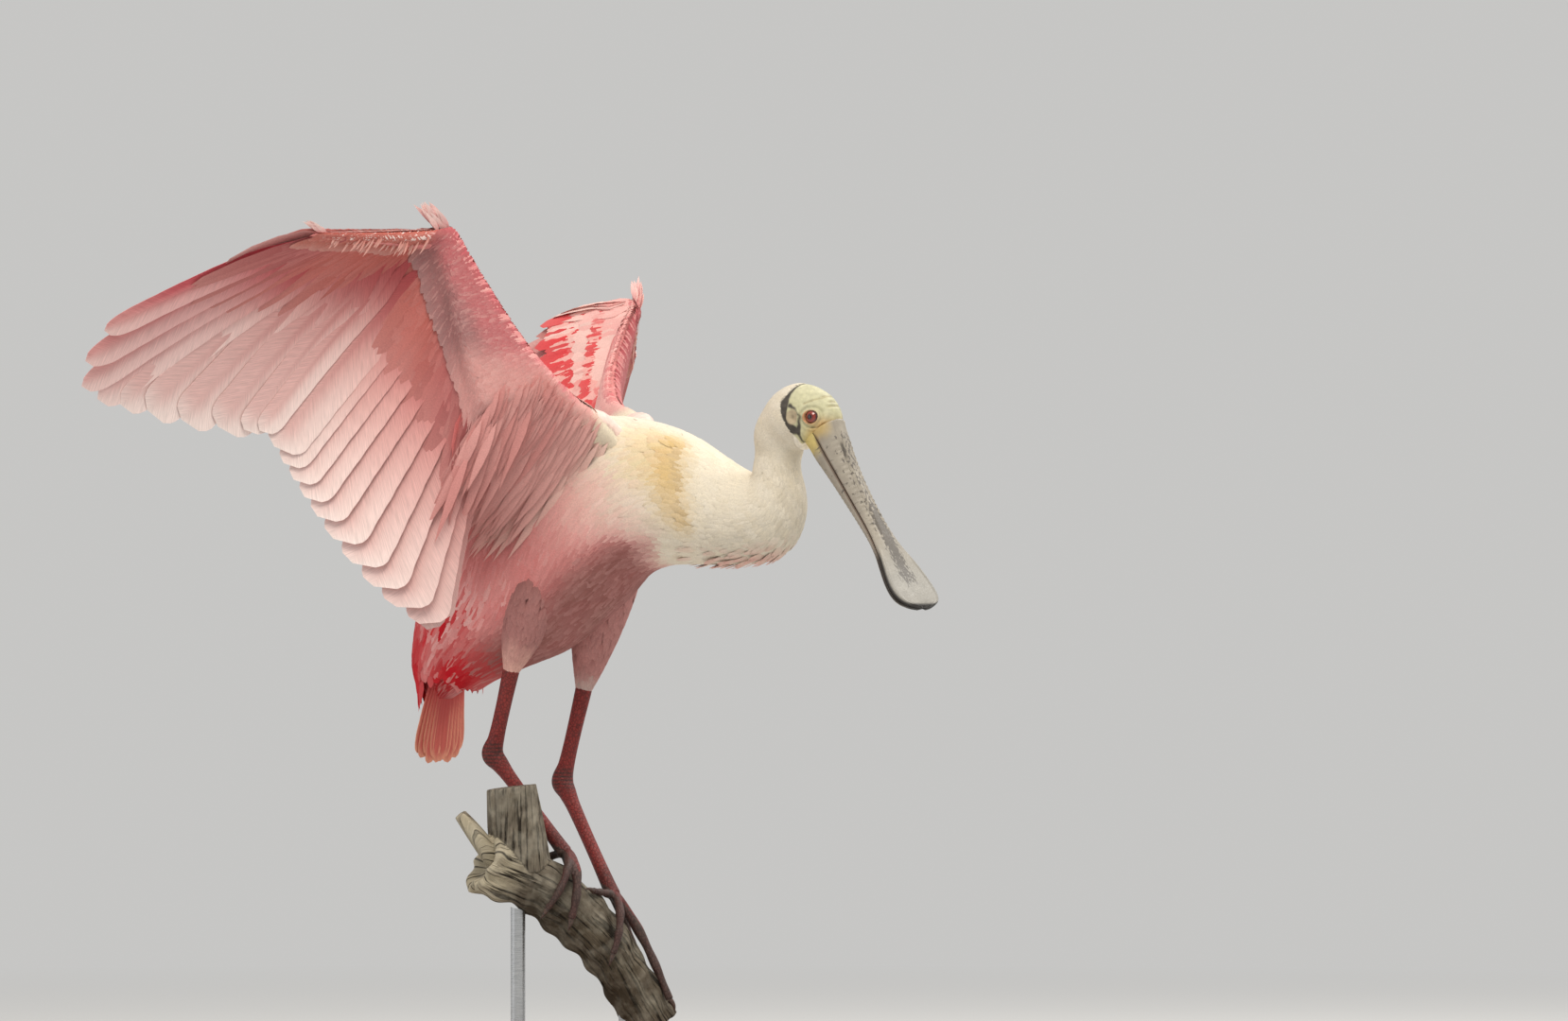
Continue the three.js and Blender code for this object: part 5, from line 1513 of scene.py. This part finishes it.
def leg_lines(name):
    leg = LEGS[name]
    thigh, cuff, ankle = (np.array(leg[key], float) for key in ("thigh", "cuff", "ankle"))
    foot = on_branch(np.array(float(FOOT_ALONG[name])), 0, FOOT_LIFT)
    return thigh, cuff, ankle, foot


def thigh_grid(name, inset, rows=40, sides=40):
    thigh, cuff, _, _ = leg_lines(name)
    at = [thigh, thigh + (cuff - thigh) * 0.48, thigh + (cuff - thigh) * 0.8, cuff]
    radii = [THIGH_RADIUS, THIGH_RADIUS * 0.76, THIGH_RADIUS * 0.5, CUFF_RADIUS * 0.8]
    return tube(at, np.array(radii) - inset, rows, sides)


def leg_tube(name):
    """Bare leg from inside the cuff of feathers to the foot, thick at the ankle."""
    thigh, cuff, ankle, foot = leg_lines(name)
    at = [mixed(thigh, cuff, 0.8), cuff, *mixed(cuff, ankle, [0.45, 0.82]), ankle,
          *mixed(ankle, foot, [0.1, 0.22, 0.6, 0.93]), foot]
    radii = [SHANK_RADIUS * 1.1, SHANK_RADIUS * 1.12, SHANK_RADIUS, SHANK_RADIUS * 1.08, ANKLE_RADIUS,
             ANKLE_RADIUS * 0.82, TARSUS_RADIUS * 1.1, TARSUS_RADIUS, TARSUS_RADIUS * 1.12, 6.5]
    return tube(at, radii, 150, 28)


def toe_line(name, along, turn, radius, steps):
    t = np.linspace(0, 1, steps)
    knuckle = 1 + 0.10 * np.cos(2 * math.pi * 3 * t) * ramp(0.08, 0.3, t)
    thick = radius * (1 - 0.35 * t) * knuckle
    lift = 5 * (1 - t) ** 3 + radius * (1 - 0.35 * t) + 0.35
    return on_branch(FOOT_ALONG[name] + along * t, turn * t**0.85, lift), thick


def toe_tube(name, along, turn, radius):
    line, thick = toe_line(name, along, turn, radius, 16)
    joint_place = leg_lines(name)[3]
    points = np.concatenate([joint_place[None], line])
    radii = np.concatenate([[6.0], thick])
    way = branch_out(np.array(FOOT_ALONG[name] + along * 0.5), turn * 0.5)
    return tube(points, radii, 60, 16, tuple(way))


def union(name, parts, voxel):
    """One closed mesh from several closed ones, re-skinned on a fine lattice."""
    obj = linked(name, mesh_of(name, *joined(parts)))
    remesh = obj.modifiers.new("remesh", "REMESH")
    remesh.mode = "VOXEL"
    remesh.voxel_size = voxel * MM
    ready = obj.evaluated_get(bpy.context.evaluated_depsgraph_get()).to_mesh()
    co = read(ready.vertices, "co", 3, np.float32)
    sizes = read(ready.polygons, "loop_total")
    corner = read(ready.loops, "vertex_index")
    obj.to_mesh_clear()
    bpy.data.meshes.remove(obj.data)
    starts = np.cumsum(sizes) - sizes
    chosen = [(starts[sizes == size], size) for size in (4, 3)]
    faces = [corner[first[:, None] + np.arange(size)] for first, size in chosen if len(first)]
    return co.reshape(-1, 3) / MM - [SHOULDER_X, 0, 0], faces


def relaxed(points, faces, rounds, share=0.5):
    """Points drawn towards the mean of their neighbours along the quads' edges."""
    edges = np.concatenate([np.stack([f, np.roll(f, -1, 1)], -1).reshape(-1, 2) for f in faces])
    count = np.bincount(edges.ravel(), minlength=len(points))[:, None]
    for _ in range(rounds):
        total = np.zeros_like(points)
        for k in range(3):
            total[:, k] = np.bincount(edges[:, 0], points[edges[:, 1], k], len(points))
            total[:, k] += np.bincount(edges[:, 1], points[edges[:, 0], k], len(points))
        points = points + (total / np.maximum(count, 1) - points) * share
    return points


def nearest_on(points, line):
    """Distance to a chain of points and the share along it, for each point."""
    best = np.full(len(points), 1e9)
    where = np.zeros(len(points))
    lengths = np.linalg.norm(np.diff(line, axis=0), axis=-1)
    done = 0.0
    for a, b, span in zip(line[:-1], line[1:], lengths):
        t = np.clip(((points - a) @ (b - a)) / (span * span), 0, 1)
        away = np.linalg.norm(points - a - t[:, None] * (b - a), axis=-1)
        closer = away < best
        best = np.where(closer, away, best)
        where = np.where(closer, (done + t * span) / lengths.sum(), where)
        done += span
    return best, where


def place_skin(rows):
    """The one skin: trunk, neck and head, arms, hands, thighs, legs and feet."""
    place = rows[:, 0]
    grid = body_grid(rows, rows_at(COAT_DEPTH, place)[:, 0])
    relief = np.where((place >= HEAD_FROM)[:, None], head_relief(grid), 0)
    relief = relief - BILL_STEP * (ramp(11.94, 12.02, place) ** 1.5)[:, None]
    parts = [capped(turned(grid + facing_out(grid)[..., 3:] * relief[..., None], rows[:, 6][:, None]))]
    body_count = len(parts[0][0])
    for wing in (WING_RIGHT, WING_LEFT):
        parts += [capped(arm_grid(wing, ARM_COAT)), capped(hand_grid(wing, HAND_COAT))]
    legs = []
    for name in LEGS:
        parts.append(capped(thigh_grid(name, THIGH_COAT)))
        legs.append(capped(leg_tube(name)))
        legs += [capped(toe_tube(name, along, turn, radius)) for _, along, turn, radius in TOES[name]]
    leg_points, leg_faces = union("legs", legs, 0.9)
    leg_points = relaxed(leg_points, leg_faces, 2)
    points, faces = joined([*parts, (leg_points, leg_faces)])
    leg_from = len(points) - len(leg_points)
    index = np.arange(len(points))
    tint = np.broadcast_to(PINK, points.shape).copy()
    body = points[:body_count]
    ring = np.concatenate([np.repeat(place, BODY_SIDES), [0, 12]])
    down = np.tile((np.arange(BODY_SIDES) + 0.5) / BODY_SIDES * 2 * math.pi, len(rows))
    down = np.concatenate([np.minimum(down, 2 * math.pi - down), [0, 0]])
    bare = ramp(HEAD_FROM, 11.15, ring)
    # The skin under the coat takes the coat's colour 15% darker: painted shade under the feathers.
    tint[:body_count] = mixed(body_colour(body, ring, down) * 0.85, head_colour(turned(body, -HEAD_TURN)), bare)
    tint[leg_from:] = leg_colour(leg_points)
    arms = (index >= body_count) & (index < leg_from)
    near = fall(60, 105, np.abs(points[:, 1])) * (points[:, 2] > 480)
    tint[arms] = mixed(tint, "f0d3c8", near)[arms]
    nodes = ["rump", "belly", "breast", "neck_base", "neck_bend", "neck_top", "head"]
    for side in ("left", "right"):
        nodes += [f"{part}_{side}" for part in ("thigh", "shank", "tarsus", "foot")]
        nodes += [f"wing_{side}_{part}" for part in ("upper_arm", "forearm", "hand", "alula")]
    notes = {"leg": (index >= leg_from).astype(float)}
    piece("skin", points, faces, SKIN, nodes, tint=tint, notes=notes)


def leg_colour(points):
    """Dark rose red leg, with painted shade of brown creases at the ankle, darker and greyer on the toes."""
    tone = wave_noise(points, 14, 51)
    out = mixed(LEG_RED, "8c302b", 0.5 + 0.5 * tone)
    for name in LEGS:
        _, cuff, ankle, foot = leg_lines(name)
        away = np.linalg.norm(points - ankle, axis=-1)
        # Painted shade: dark bands of crease lines round each ankle.
        crease = fall(9, 17, away + 3 * tone) * (0.55 + 0.45 * np.sin(points[:, 2] * 2.1))
        out = mixed(out, LEG_DARK, np.clip(0.9 * crease, 0, 1))
        near = fall(14, 34, np.linalg.norm(points - foot, axis=-1) - 3 * tone)
        out = mixed(out, LEG_DARK, 0.5 * near)
    toes = fall(6, 16, points[:, 2] - foot_height(points))
    return mixed(out, mixed(TOE_GREY, "57332f", 0.5 + 0.5 * tone), toes)


def foot_height(points):
    """Six millimetres below each point's own height where the point lies within 10 mm of the branch's surface,
    and far below elsewhere.
    """
    span, share = nearest_on(points, BRANCH_LINE[::6])
    along = share * BRANCH_SPAN
    centre = branch_centre(along)
    return np.where(span < branch_radius(along) + 10, points[:, 2] - 6, -1e3)


def place_eyes():
    """Eyeballs: a sphere about the axis of sight, pupil, iris and dark rim by the angle from it."""
    lat, lon = 40, 48
    theta = np.linspace(0.02, math.pi - 0.02, lat)
    phi = (np.arange(lon) / lon * 2 * math.pi)[None, :, None]
    radius = (EYE_RADIUS * (1 + 0.03 * bell(theta, 0, 0.5)))[:, None, None]
    off = np.concatenate([np.repeat(theta, lon), [0, math.pi]])
    iris = mixed(mixed("64180d", "962c18", ramp(0.36, 0.62, off)), "5e180e", ramp(0.66, 0.86, off))
    out = mixed(mixed("050404", iris, ramp(0.28, 0.34, off)), "2c0f0c", ramp(0.86, 0.95, off))
    tall = theta[:, None, None]
    for side, name in ((1, "left"), (-1, "right")):
        centre = np.array([CHIN[0] + EYE_PLACE[0], side * EYE_APART, CHIN[1] + EYE_PLACE[1]])
        sight = unit(np.array([0.16, side, 0.04]))
        one = unit(np.cross(sight, [0, 0, 1.0]))
        ring = one * np.cos(phi) + np.cross(sight, one) * np.sin(phi)
        points, faces = capped(centre + sight * (radius * np.cos(tall)) + ring * (radius * np.sin(tall)))
        piece(f"eyeball_{name}", turned(points, HEAD_TURN), faces, EYE, [f"eye_{name}"], tint=out)


def bill_line(t):
    """Points of the bill's middle line: heading turns evenly from base to tip."""
    fine = np.linspace(0, 1, 241)
    heading = np.radians(BILL_HEADING[0] + (BILL_HEADING[1] - BILL_HEADING[0]) * fine)
    step = BILL_LENGTH / 240
    x, z = (start + np.concatenate([[0], np.cumsum((way[1:] + way[:-1]) / 2)]) * step
            for start, way in zip(BILL_START, (np.cos(heading), np.sin(heading))))
    return np.interp(t, fine, x), np.interp(t, fine, z), np.interp(t, fine, heading)


MOUTH_RISE = 3.2


def place_bill():
    """Two halves. Each section is a half ellipse over a flat face; the upper one has a groove each side of
    its ridge, cross ridges near the base and a raised rim round the spoon."""
    rows, arc = 150, 40
    t = 1 - (1 - np.linspace(0, 1, rows)) ** 1.12
    x, z, heading = bill_line(t)
    up = np.stack([-np.sin(heading), 0 * t, np.cos(heading)], -1)
    closed_at = MOUTH_RISE * fall(0.7, 0.95, t)
    base = (np.stack([x, 0 * t, z], -1) + up * closed_at[:, None])[:, None]
    width, top, bottom = (size * (0.92 + 0.08 * ramp(0.02, 0.12, t)) for size in rows_at(BILL, t).T)
    angle = np.linspace(0, math.pi, arc)
    cos, sin = np.cos(angle), np.sin(angle)
    flank = np.abs(cos)
    across = -width[:, None] * np.sign(cos) * flank**0.9
    inner = np.clip(np.abs(across) - 0.6, 0, None) * np.sign(across)
    spoon, down = ramp(0.6, 0.8, t)[:, None], t[:, None]
    rim = 1.3 * bell(flank, 0.9, 0.09) * spoon
    dish = -1.2 * bell(cos, 0, 0.55) * spoon
    furrow = -1.3 * bell(flank, 0.42, 0.07) * fall(0.45, 0.72, down)
    ridges = 0.45 * np.sin(down * 250) * bell(flank, 0.72, 0.2) * ramp(0.03, 0.1, down) * fall(0.5, 0.68, down)
    beads = 0.5 * np.sin(down * 400) * bell(flank, 0.93, 0.05) * ramp(0.2, 0.3, down) * fall(0.55, 0.66, down)
    lip = 0.5 + 0.35 * ramp(0.0, 0.1, down) * (1 - spoon)
    side = np.array([0, 1.0, 0])
    tt = np.concatenate([np.repeat(t, 2 * arc), [0, 1]])
    edge = np.concatenate([np.tile(np.concatenate([flank, flank[::-1]]), rows), [0, 0]])
    face_in = np.concatenate([np.tile(np.repeat([0.0, 1.0], arc), rows), [0, 1]])
    spread = np.concatenate([np.concatenate([across, inner[:, ::-1]], 1).ravel(), [0, 0]])
    for upper, half in ((True, "upper"), (False, "lower")):
        sign = 1 if upper else -1
        height = top - closed_at if upper else np.maximum(bottom + 0.1 * closed_at, 1.0)
        relief = rim + dish + (furrow + ridges + beads if upper else 0.5 * ridges)
        dome = height[:, None] * sin**0.85
        rise = lip + np.maximum(dome + relief * np.minimum(sin * 3, 1), 0)
        over = base + up[:, None] * (sign * rise)[..., None] + side * across[..., None]
        below = base + up[:, None] * (sign * 0.25) + side * inner[..., None]
        points, faces = capped(np.concatenate([over, below[:, ::-1]], 1))
        tint, marks = bill_colour(points, tt, edge, upper)
        # Painted shade: the flat inner faces of both halves, in the gap between them, are darker.
        tint = mixed(tint, "55483a", 0.8 * face_in * fall(0.95, 1, tt))
        bill_map = np.column_stack([spread, tt * BILL_LENGTH + (0 if upper else 300)])
        piece(f"bill_{half}_horn", turned(points, HEAD_TURN), faces, BILL_HORN, [f"bill_{half}"],
              tint=tint, notes={"marks": marks}, maps={"bill": bill_map})


def bill_colour(points, t, edge, upper):
    """Grey cream horn, yellowish at the base, dark dashes that gather before the spoon, black rim."""
    tone = wave_noise(points, 12, 61)
    out = mixed("b3aa9a", "a9a59c", ramp(0.5, 0.9, t))
    out = mixed(out, "a0978a", (0.5 + 0.5 * tone) * fall(0.6, 0.8, t))
    out = out * (0.88 - 0.07 * ramp(0.6, 0.75, t))[:, None]
    gape = fall(0.05, 0.12, t + 0.014 * tone)
    if upper:
        gape = 0.75 * gape * ramp(0.4, 1.0, edge) * fall(0.01, 0.08, t + 0.014 * tone)
    out = mixed(out, colour("c9ab63") if upper else colour("cdb974"), gape)
    streak = bell(edge, 0, 0.42) * ramp(0.36, 0.6, t) * fall(0.82, 0.93, t + 0.03 * tone)
    slit = bell(edge, 0.36, 0.07) * ramp(0.1, 0.125, t) * fall(0.17, 0.2, t)
    marks = 0.74 * fall(0.5, 0.8, t) * (0.4 + 0.6 * bell(edge, 0, 0.7))
    marks = marks * ramp(0.03, 0.08, t)
    if upper:
        out = mixed(out, "3a332c", 0.9 * slit)
        marks = marks + 1.15 * streak
    line = bell(edge, 0.84, 0.02) * ramp(0.7, 0.8, t)
    out = mixed(out, "6f6a62", 0.5 * line)
    rim = ramp(0.93, 0.985, edge) * ramp(0.62, 0.74, t)
    rim = np.maximum(rim, ramp(0.975, 0.99, t))
    out = mixed(out, "26221f", np.clip(rim, 0, 1))
    # Painted shade: a thin dark brown line along the mouth's edge.
    mouth_shade = ramp(0.9966, 1.0, edge) * fall(0.62, 0.74, t) * ramp(0.01, 0.05, t)
    out = mixed(out, "5d4334", 0.8 * mouth_shade)
    return out, marks


def place_claws():
    """Claws: a cone that curves down onto the wood, thin at the tip."""
    for name, toes in TOES.items():
        for toe, along, turn, radius in toes:
            line, thick = toe_line(name, along, turn, radius, 6)
            tip, aim = line[-1], unit(line[-1] - line[-2])
            out = branch_out(np.array(FOOT_ALONG[name] + float(along)), float(turn))
            s = np.linspace(0, 1, 14)
            arch = 1.6 * np.sin(math.pi * s) - 0.4 * s
            points = tip + aim * (0.4 + CLAW_LENGTH * s)[:, None] + out * arch[:, None]
            radii = np.maximum(radius * 0.56 * (1 - s) ** 0.75, 0.22)
            grid = tube(points, radii, 24, 12, tuple(out))
            points, faces = capped(grid)
            piece(f"claw_horn_{name}_{toe}", points, faces, CLAW, [f"claw_{name}_{toe}"])


def place_perch():
    """Branch, sawn stub and twig as one weathered body: long cracks and ribs, and a broken knob."""
    along = np.linspace(0, BRANCH_SPAN, 170)
    centre, axis = branch_centre(along), branch_axis(along)
    a, r = along[:, None], around(72)
    twist = r + a * 0.006
    ribs = 0.9 * np.sin(7 * twist) + 0.6 * np.sin(13 * twist + 1.3 + 0.02 * a)
    ribs += 0.4 * np.sin(23 * twist + 0.05 * a)
    crack = -2.6 * bell(np.sin(2.5 * twist + 0.7 + 0.5 * np.sin(a * 0.03)), 0, 0.10)
    crack -= 1.8 * bell(np.sin(3.5 * twist + 2.1 + 0.4 * np.sin(a * 0.05)), 0, 0.08)
    knots = 2.0 * bell(a, 78, 12) * np.maximum(np.cos(r - 3.4), 0) ** 4
    knots += 1.6 * np.sin(a * 0.11 + 2 * r) * np.sin(a * 0.043 + 1) + 1.1 * np.sin(a * 0.23 - 3 * r)
    broken = fall(0, 16, a) * (2.5 * np.sin(5 * twist + 1) + 1.5 * np.sin(11 * twist))
    worn = branch_radius(along)[:, None] - 1.3 + ribs * 0.7 + crack + knots + broken
    way = np.stack([branch_out(along, np.full(len(along), turn)) for turn in np.degrees(r[0])], 1)
    grid = centre[:, None] + way * worn[..., None]
    parts = [capped(np.concatenate([knob_end(grid[0], centre[0], axis[0]), grid]))]
    fork = branch_centre(np.array(float(FORK_ALONG)))
    stub_at = [fork, fork + STUB_LEAN, fork + STUB_LEAN * 1.75]
    stub = tube(stub_at, [STUB_RADIUS - 1.5, STUB_RADIUS * 0.92 - 1.5, STUB_RADIUS * 0.8 - 1.2], 70, 72)
    rib = 0.7 * np.sin(6 * r + 0.5) + 0.5 * np.sin(15 * r) + 0.3 * np.sin(27 * r)
    gash = -2.4 * bell(np.sin(2 * r + 0.9), 0, 0.09) - 1.6 * bell(np.sin(3.5 * r), 0, 0.07)
    twig_start = branch_centre(np.array(FORK_ALONG * 0.4))
    twig_at = [twig_start, twig_start + [-16, -16, 30], twig_start + [-24, -24, 44]]
    twig = tube(twig_at, [9, 7, 5], 30, 24)
    for rings, relief in ((stub, rib + gash), (twig, 0.5 * np.sin(5 * around(24)))):
        parts.append(capped(rings + unit(rings - rings.mean(1, keepdims=True)) * relief[..., None]))
    points, faces = union("perch_body", parts, 1.15)
    points = relaxed(points, faces, 1, 0.4)
    span, share = nearest_on(points, BRANCH_LINE[::4])
    at = share * BRANCH_SPAN
    is_stub = (nearest_on(points, np.array(stub_at))[0] < span) & (points[:, 2] > fork[2] + 4)
    offset = points - branch_centre(at)
    up, side = branch_out(at, np.zeros(len(at))), branch_out(at, np.full(len(at), 90.0))
    round_way = np.arctan2((offset * side).sum(-1), (offset * up).sum(-1))
    stub_round = np.arctan2(points[:, 1] - fork[1], points[:, 0] - fork[0])
    grain = np.where(is_stub, [stub_round * 24, points[:, 2]], [round_way * 24, at]).T
    tint = perch_colour(points, at, round_way, is_stub)
    piece("perch_wood", points, faces, BARK, ["perch"], tint=tint, maps={"grain": grain})


def knob_end(ring, centre, axis):
    """Broken end: rings that draw in over the end and sink into a hollow."""
    out = []
    jag = 1.4 * np.sin(around(len(ring))[0] * 9)
    for share, depth in ((0.25, 7.0), (0.5, 5.0), (0.66, 0.0), (0.8, -2.5), (0.93, -1.5)):
        out.append(centre + (ring - centre) * share + axis * (depth + jag * share)[:, None])
    return np.array(out)


def perch_colour(points, at, round_way, is_stub):
    """Weathered grey wood, pale on the broken knob, darker brown on the branch's underside and towards its
    lower end.
    """
    tone, fine = wave_noise(points, 40, 71), wave_noise(points, 9, 72)
    out = mixed("655d51", "877d6d", 0.5 + 0.5 * tone)
    out = mixed(out, "463f36", 0.7 * ramp(-0.1, 0.8, fine))
    knob = fall(6, 34, at + 6 * tone)
    out = mixed(out, "cbbfa4", 0.75 * knob * ~is_stub)
    # Darker brown on the branch's underside, past its first 20 to 50 mm.
    low = ramp(1.2, 2.3, np.abs(round_way) + 0.3 * tone) * ramp(20, 50, at)
    out = mixed(out, "463b2d", 0.8 * low)
    return mixed(out, "5a4f40", 0.55 * ramp(60, 120, at + 15 * tone) * ~is_stub)


THIGH_TUFTS = 1500


def lay_thigh(name):
    """Short feathers down the thigh to its cuff."""
    grid = facing_out(thigh_grid(name, THIGH_COAT))
    rows, sides = grid.shape[:2]
    thigh, cuff, _, _ = leg_lines(name)
    span = np.linalg.norm(cuff - thigh)
    share = np.sort(rng.random(THIGH_TUFTS) ** 0.8)
    u, v = share * (rows - 1), rng.uniform(0, sides, THIGH_TUFTS)
    du = np.minimum((26 - 14 * share) / span, 1.07 - share) * (rows - 1)
    tone = wave_noise(sample(grid, u, v, True)[0], 16, 81)
    # The thighs' upper feathers take a dark mauve like the belly's: partly their own colour and partly painted
    # shade under the body.
    body = mixed("98605c", "a9706b", 0.5 + 0.5 * tone)
    if name == "right":
        base = mixed("945d59", "d2a294", ramp(0.5, 0.9, share + 0.15 * tone))
    else:
        base = mixed(body, "b7a49c", ramp(0.72, 0.92, share + 0.08 * tone))
    base = base * rng.uniform(0.88, 1.1, (THIGH_TUFTS, 1))
    ends = (base, mixed(base, PINK_PALE, 0.25))
    part = laid_tufts(grid, True, u, v, du, rng.normal(0, 0.5, THIGH_TUFTS), 4.6 - 1.6 * share,
                      5.2 - 1.8 * share, ends, map_places(share, v / sides))
    coat_piece(f"thigh_{name}_coat", [part])


def nape_only(points, place, down):
    """Keeps the tufts behind the bare head's edge."""
    a, b, _ = head_places(turned(points, -HEAD_TURN))
    return (place < 11.02) | (a < np.interp(b, *NAPE_EDGE.T) + rng.normal(0, 0.5, len(a)))


def place_body():
    def rump_only(points, place, down):
        """Keeps the last tufts to the upper side of the tail."""
        return (place > 1.75 + rng.normal(0, 0.1, len(place))) | (down < 1.25)

    place_skin(body_rows(TRUNK[:1], 8))
    coat_rows = body_rows(TAIL_SLEEVE, 8)
    points = body_grid(coat_rows, rows_at(COAT_DEPTH, coat_rows[:, 0])[:, 0])
    grid = facing_out(turned(points, coat_rows[:, 6][:, None]))
    lengths = [
        ("rump", 0.95, 2.0, "carmine"), ("belly", 2.0, 4.0, "pink"), ("flanks", 4.0, 6.0, "pink"),
        ("breast", 6.0, 8.0, "pink"), ("neck_base", 8.0, 9.6, "cream"), ("neck", 9.6, 11.0, "cream"),
        ("nape", 11.0, 11.75, "cream"),
    ]
    for name, start, end, tone in lengths:
        keep = nape_only if start >= 9 else rump_only if end <= 2 else None
        coat_piece(f"coat_{name}", [lay_body(grid, coat_rows, start, end, keep)])


# Stage and camera
CAMERA_TURN = math.radians(28)
CAMERA_AWAY = 12.0
FRAME_WIDTH = 1658 * 0.77 * MM
AIM_AWAY, AIM_DROP = 153.2, 65.4
AIM = np.array([
    SHOULDER_X + AIM_AWAY * math.cos(CAMERA_TURN), AIM_AWAY * math.sin(CAMERA_TURN), SHOULDER_HEIGHT - AIM_DROP,
]) * MM
BACKDROP = (0.79, 0.785, 0.77)
BACKDROP_LEVEL = 0.72
FLOOR_HALF = 90.0


def floor_material():
    """Pale paper that takes shadow near the stand and turns, further off, into the backdrop's own light."""
    n = Nodes("floor_paper", 0.9, Specular_IOR_Level=0.1, Base_Color=(0.66, 0.655, 0.645, 1))
    away = n.add("ShaderNodeVectorMath", {0: n.place()}, operation="LENGTH").outputs["Value"]
    glow = n.add("ShaderNodeEmission", {"Color": (*BACKDROP, 1), "Strength": BACKDROP_LEVEL})
    values = {0: n.level(away, 0.7, 3.2), 1: n.shader.outputs[0], 2: glow.outputs[0]}
    both = n.add("ShaderNodeMixShader", values)
    n.tree.links.new(both.outputs[0], n.tree.nodes["Material Output"].inputs["Surface"])
    return n.mat


def place_stage():
    mesh = bpy.data.meshes.new("floor")
    corners = [(-1, -1), (1, -1), (1, 1), (-1, 1)]
    mesh.from_pydata([(x * FLOOR_HALF, y * FLOOR_HALF, 0) for x, y in corners], [], [(0, 1, 2, 3)])
    floor = linked("floor", mesh)
    mesh.materials.append(floor_material())
    world = bpy.data.worlds.new("studio")
    world.use_nodes = True
    world.node_tree.nodes["Background"].inputs[0].default_value = (*BACKDROP, 1)
    world.node_tree.nodes["Background"].inputs[1].default_value = BACKDROP_LEVEL
    bpy.context.scene.world = world
    # name, place, size, power, colour
    lights = [
        ("key", (0.9, -1.3, 2.8), 1.5, 54, (1.0, 0.94, 0.85)),
        ("back", (0.9, 1.6, 2.2), 1.4, 34, (1.0, 0.97, 0.92)),
        ("fill", (-1.8, -2.0, 0.9), 1.6, 8, (0.97, 0.98, 1.0)),
    ]
    for name, place, width, power, tone in lights:
        lamp = bpy.data.lights.new(name, "AREA")
        lamp.shape = "DISK"
        lamp.size = width
        lamp.energy = power
        lamp.color = tone
        obj = linked(name, lamp)
        way = np.array([0.05, 0, 0.42]) - np.array(place)
        obj.location = place
        tilt, turn = math.atan2(math.hypot(way[0], way[1]), -way[2]), math.atan2(-way[0], way[1])
        obj.rotation_euler = (tilt, 0, turn)
    bpy.context.scene.view_settings.view_transform = "Standard"


def place_camera():
    lens = bpy.data.cameras.new("camera")
    lens.sensor_width = 36.0
    lens.lens = 36.0 * CAMERA_AWAY / FRAME_WIDTH
    lens.clip_end = 200.0
    camera = linked("camera", lens)
    away = np.array([math.sin(CAMERA_TURN), -math.cos(CAMERA_TURN), 0]) * CAMERA_AWAY
    camera.location = AIM + away
    camera.rotation_euler = (math.pi / 2, 0, CAMERA_TURN)
    bpy.context.scene.camera = camera


place_camera()
place_stage()
place_body()
place_eyes()
place_bill()
place_tail()
for one_wing in (WING_RIGHT, WING_LEFT):
    place_flight(one_wing)
    sheets = place_coverts(one_wing)
    place_edge(one_wing, *sheets)
for leg_name in LEGS:
    lay_thigh(leg_name)
place_claws()
place_perch()

steel = steel_material()
for node, finish in (("stand_base", wood_material()), ("stand_rod_upper", steel), ("stand_rod_lower", steel)):
    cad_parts[node].data.materials.clear()
    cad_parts[node].data.materials.append(finish)
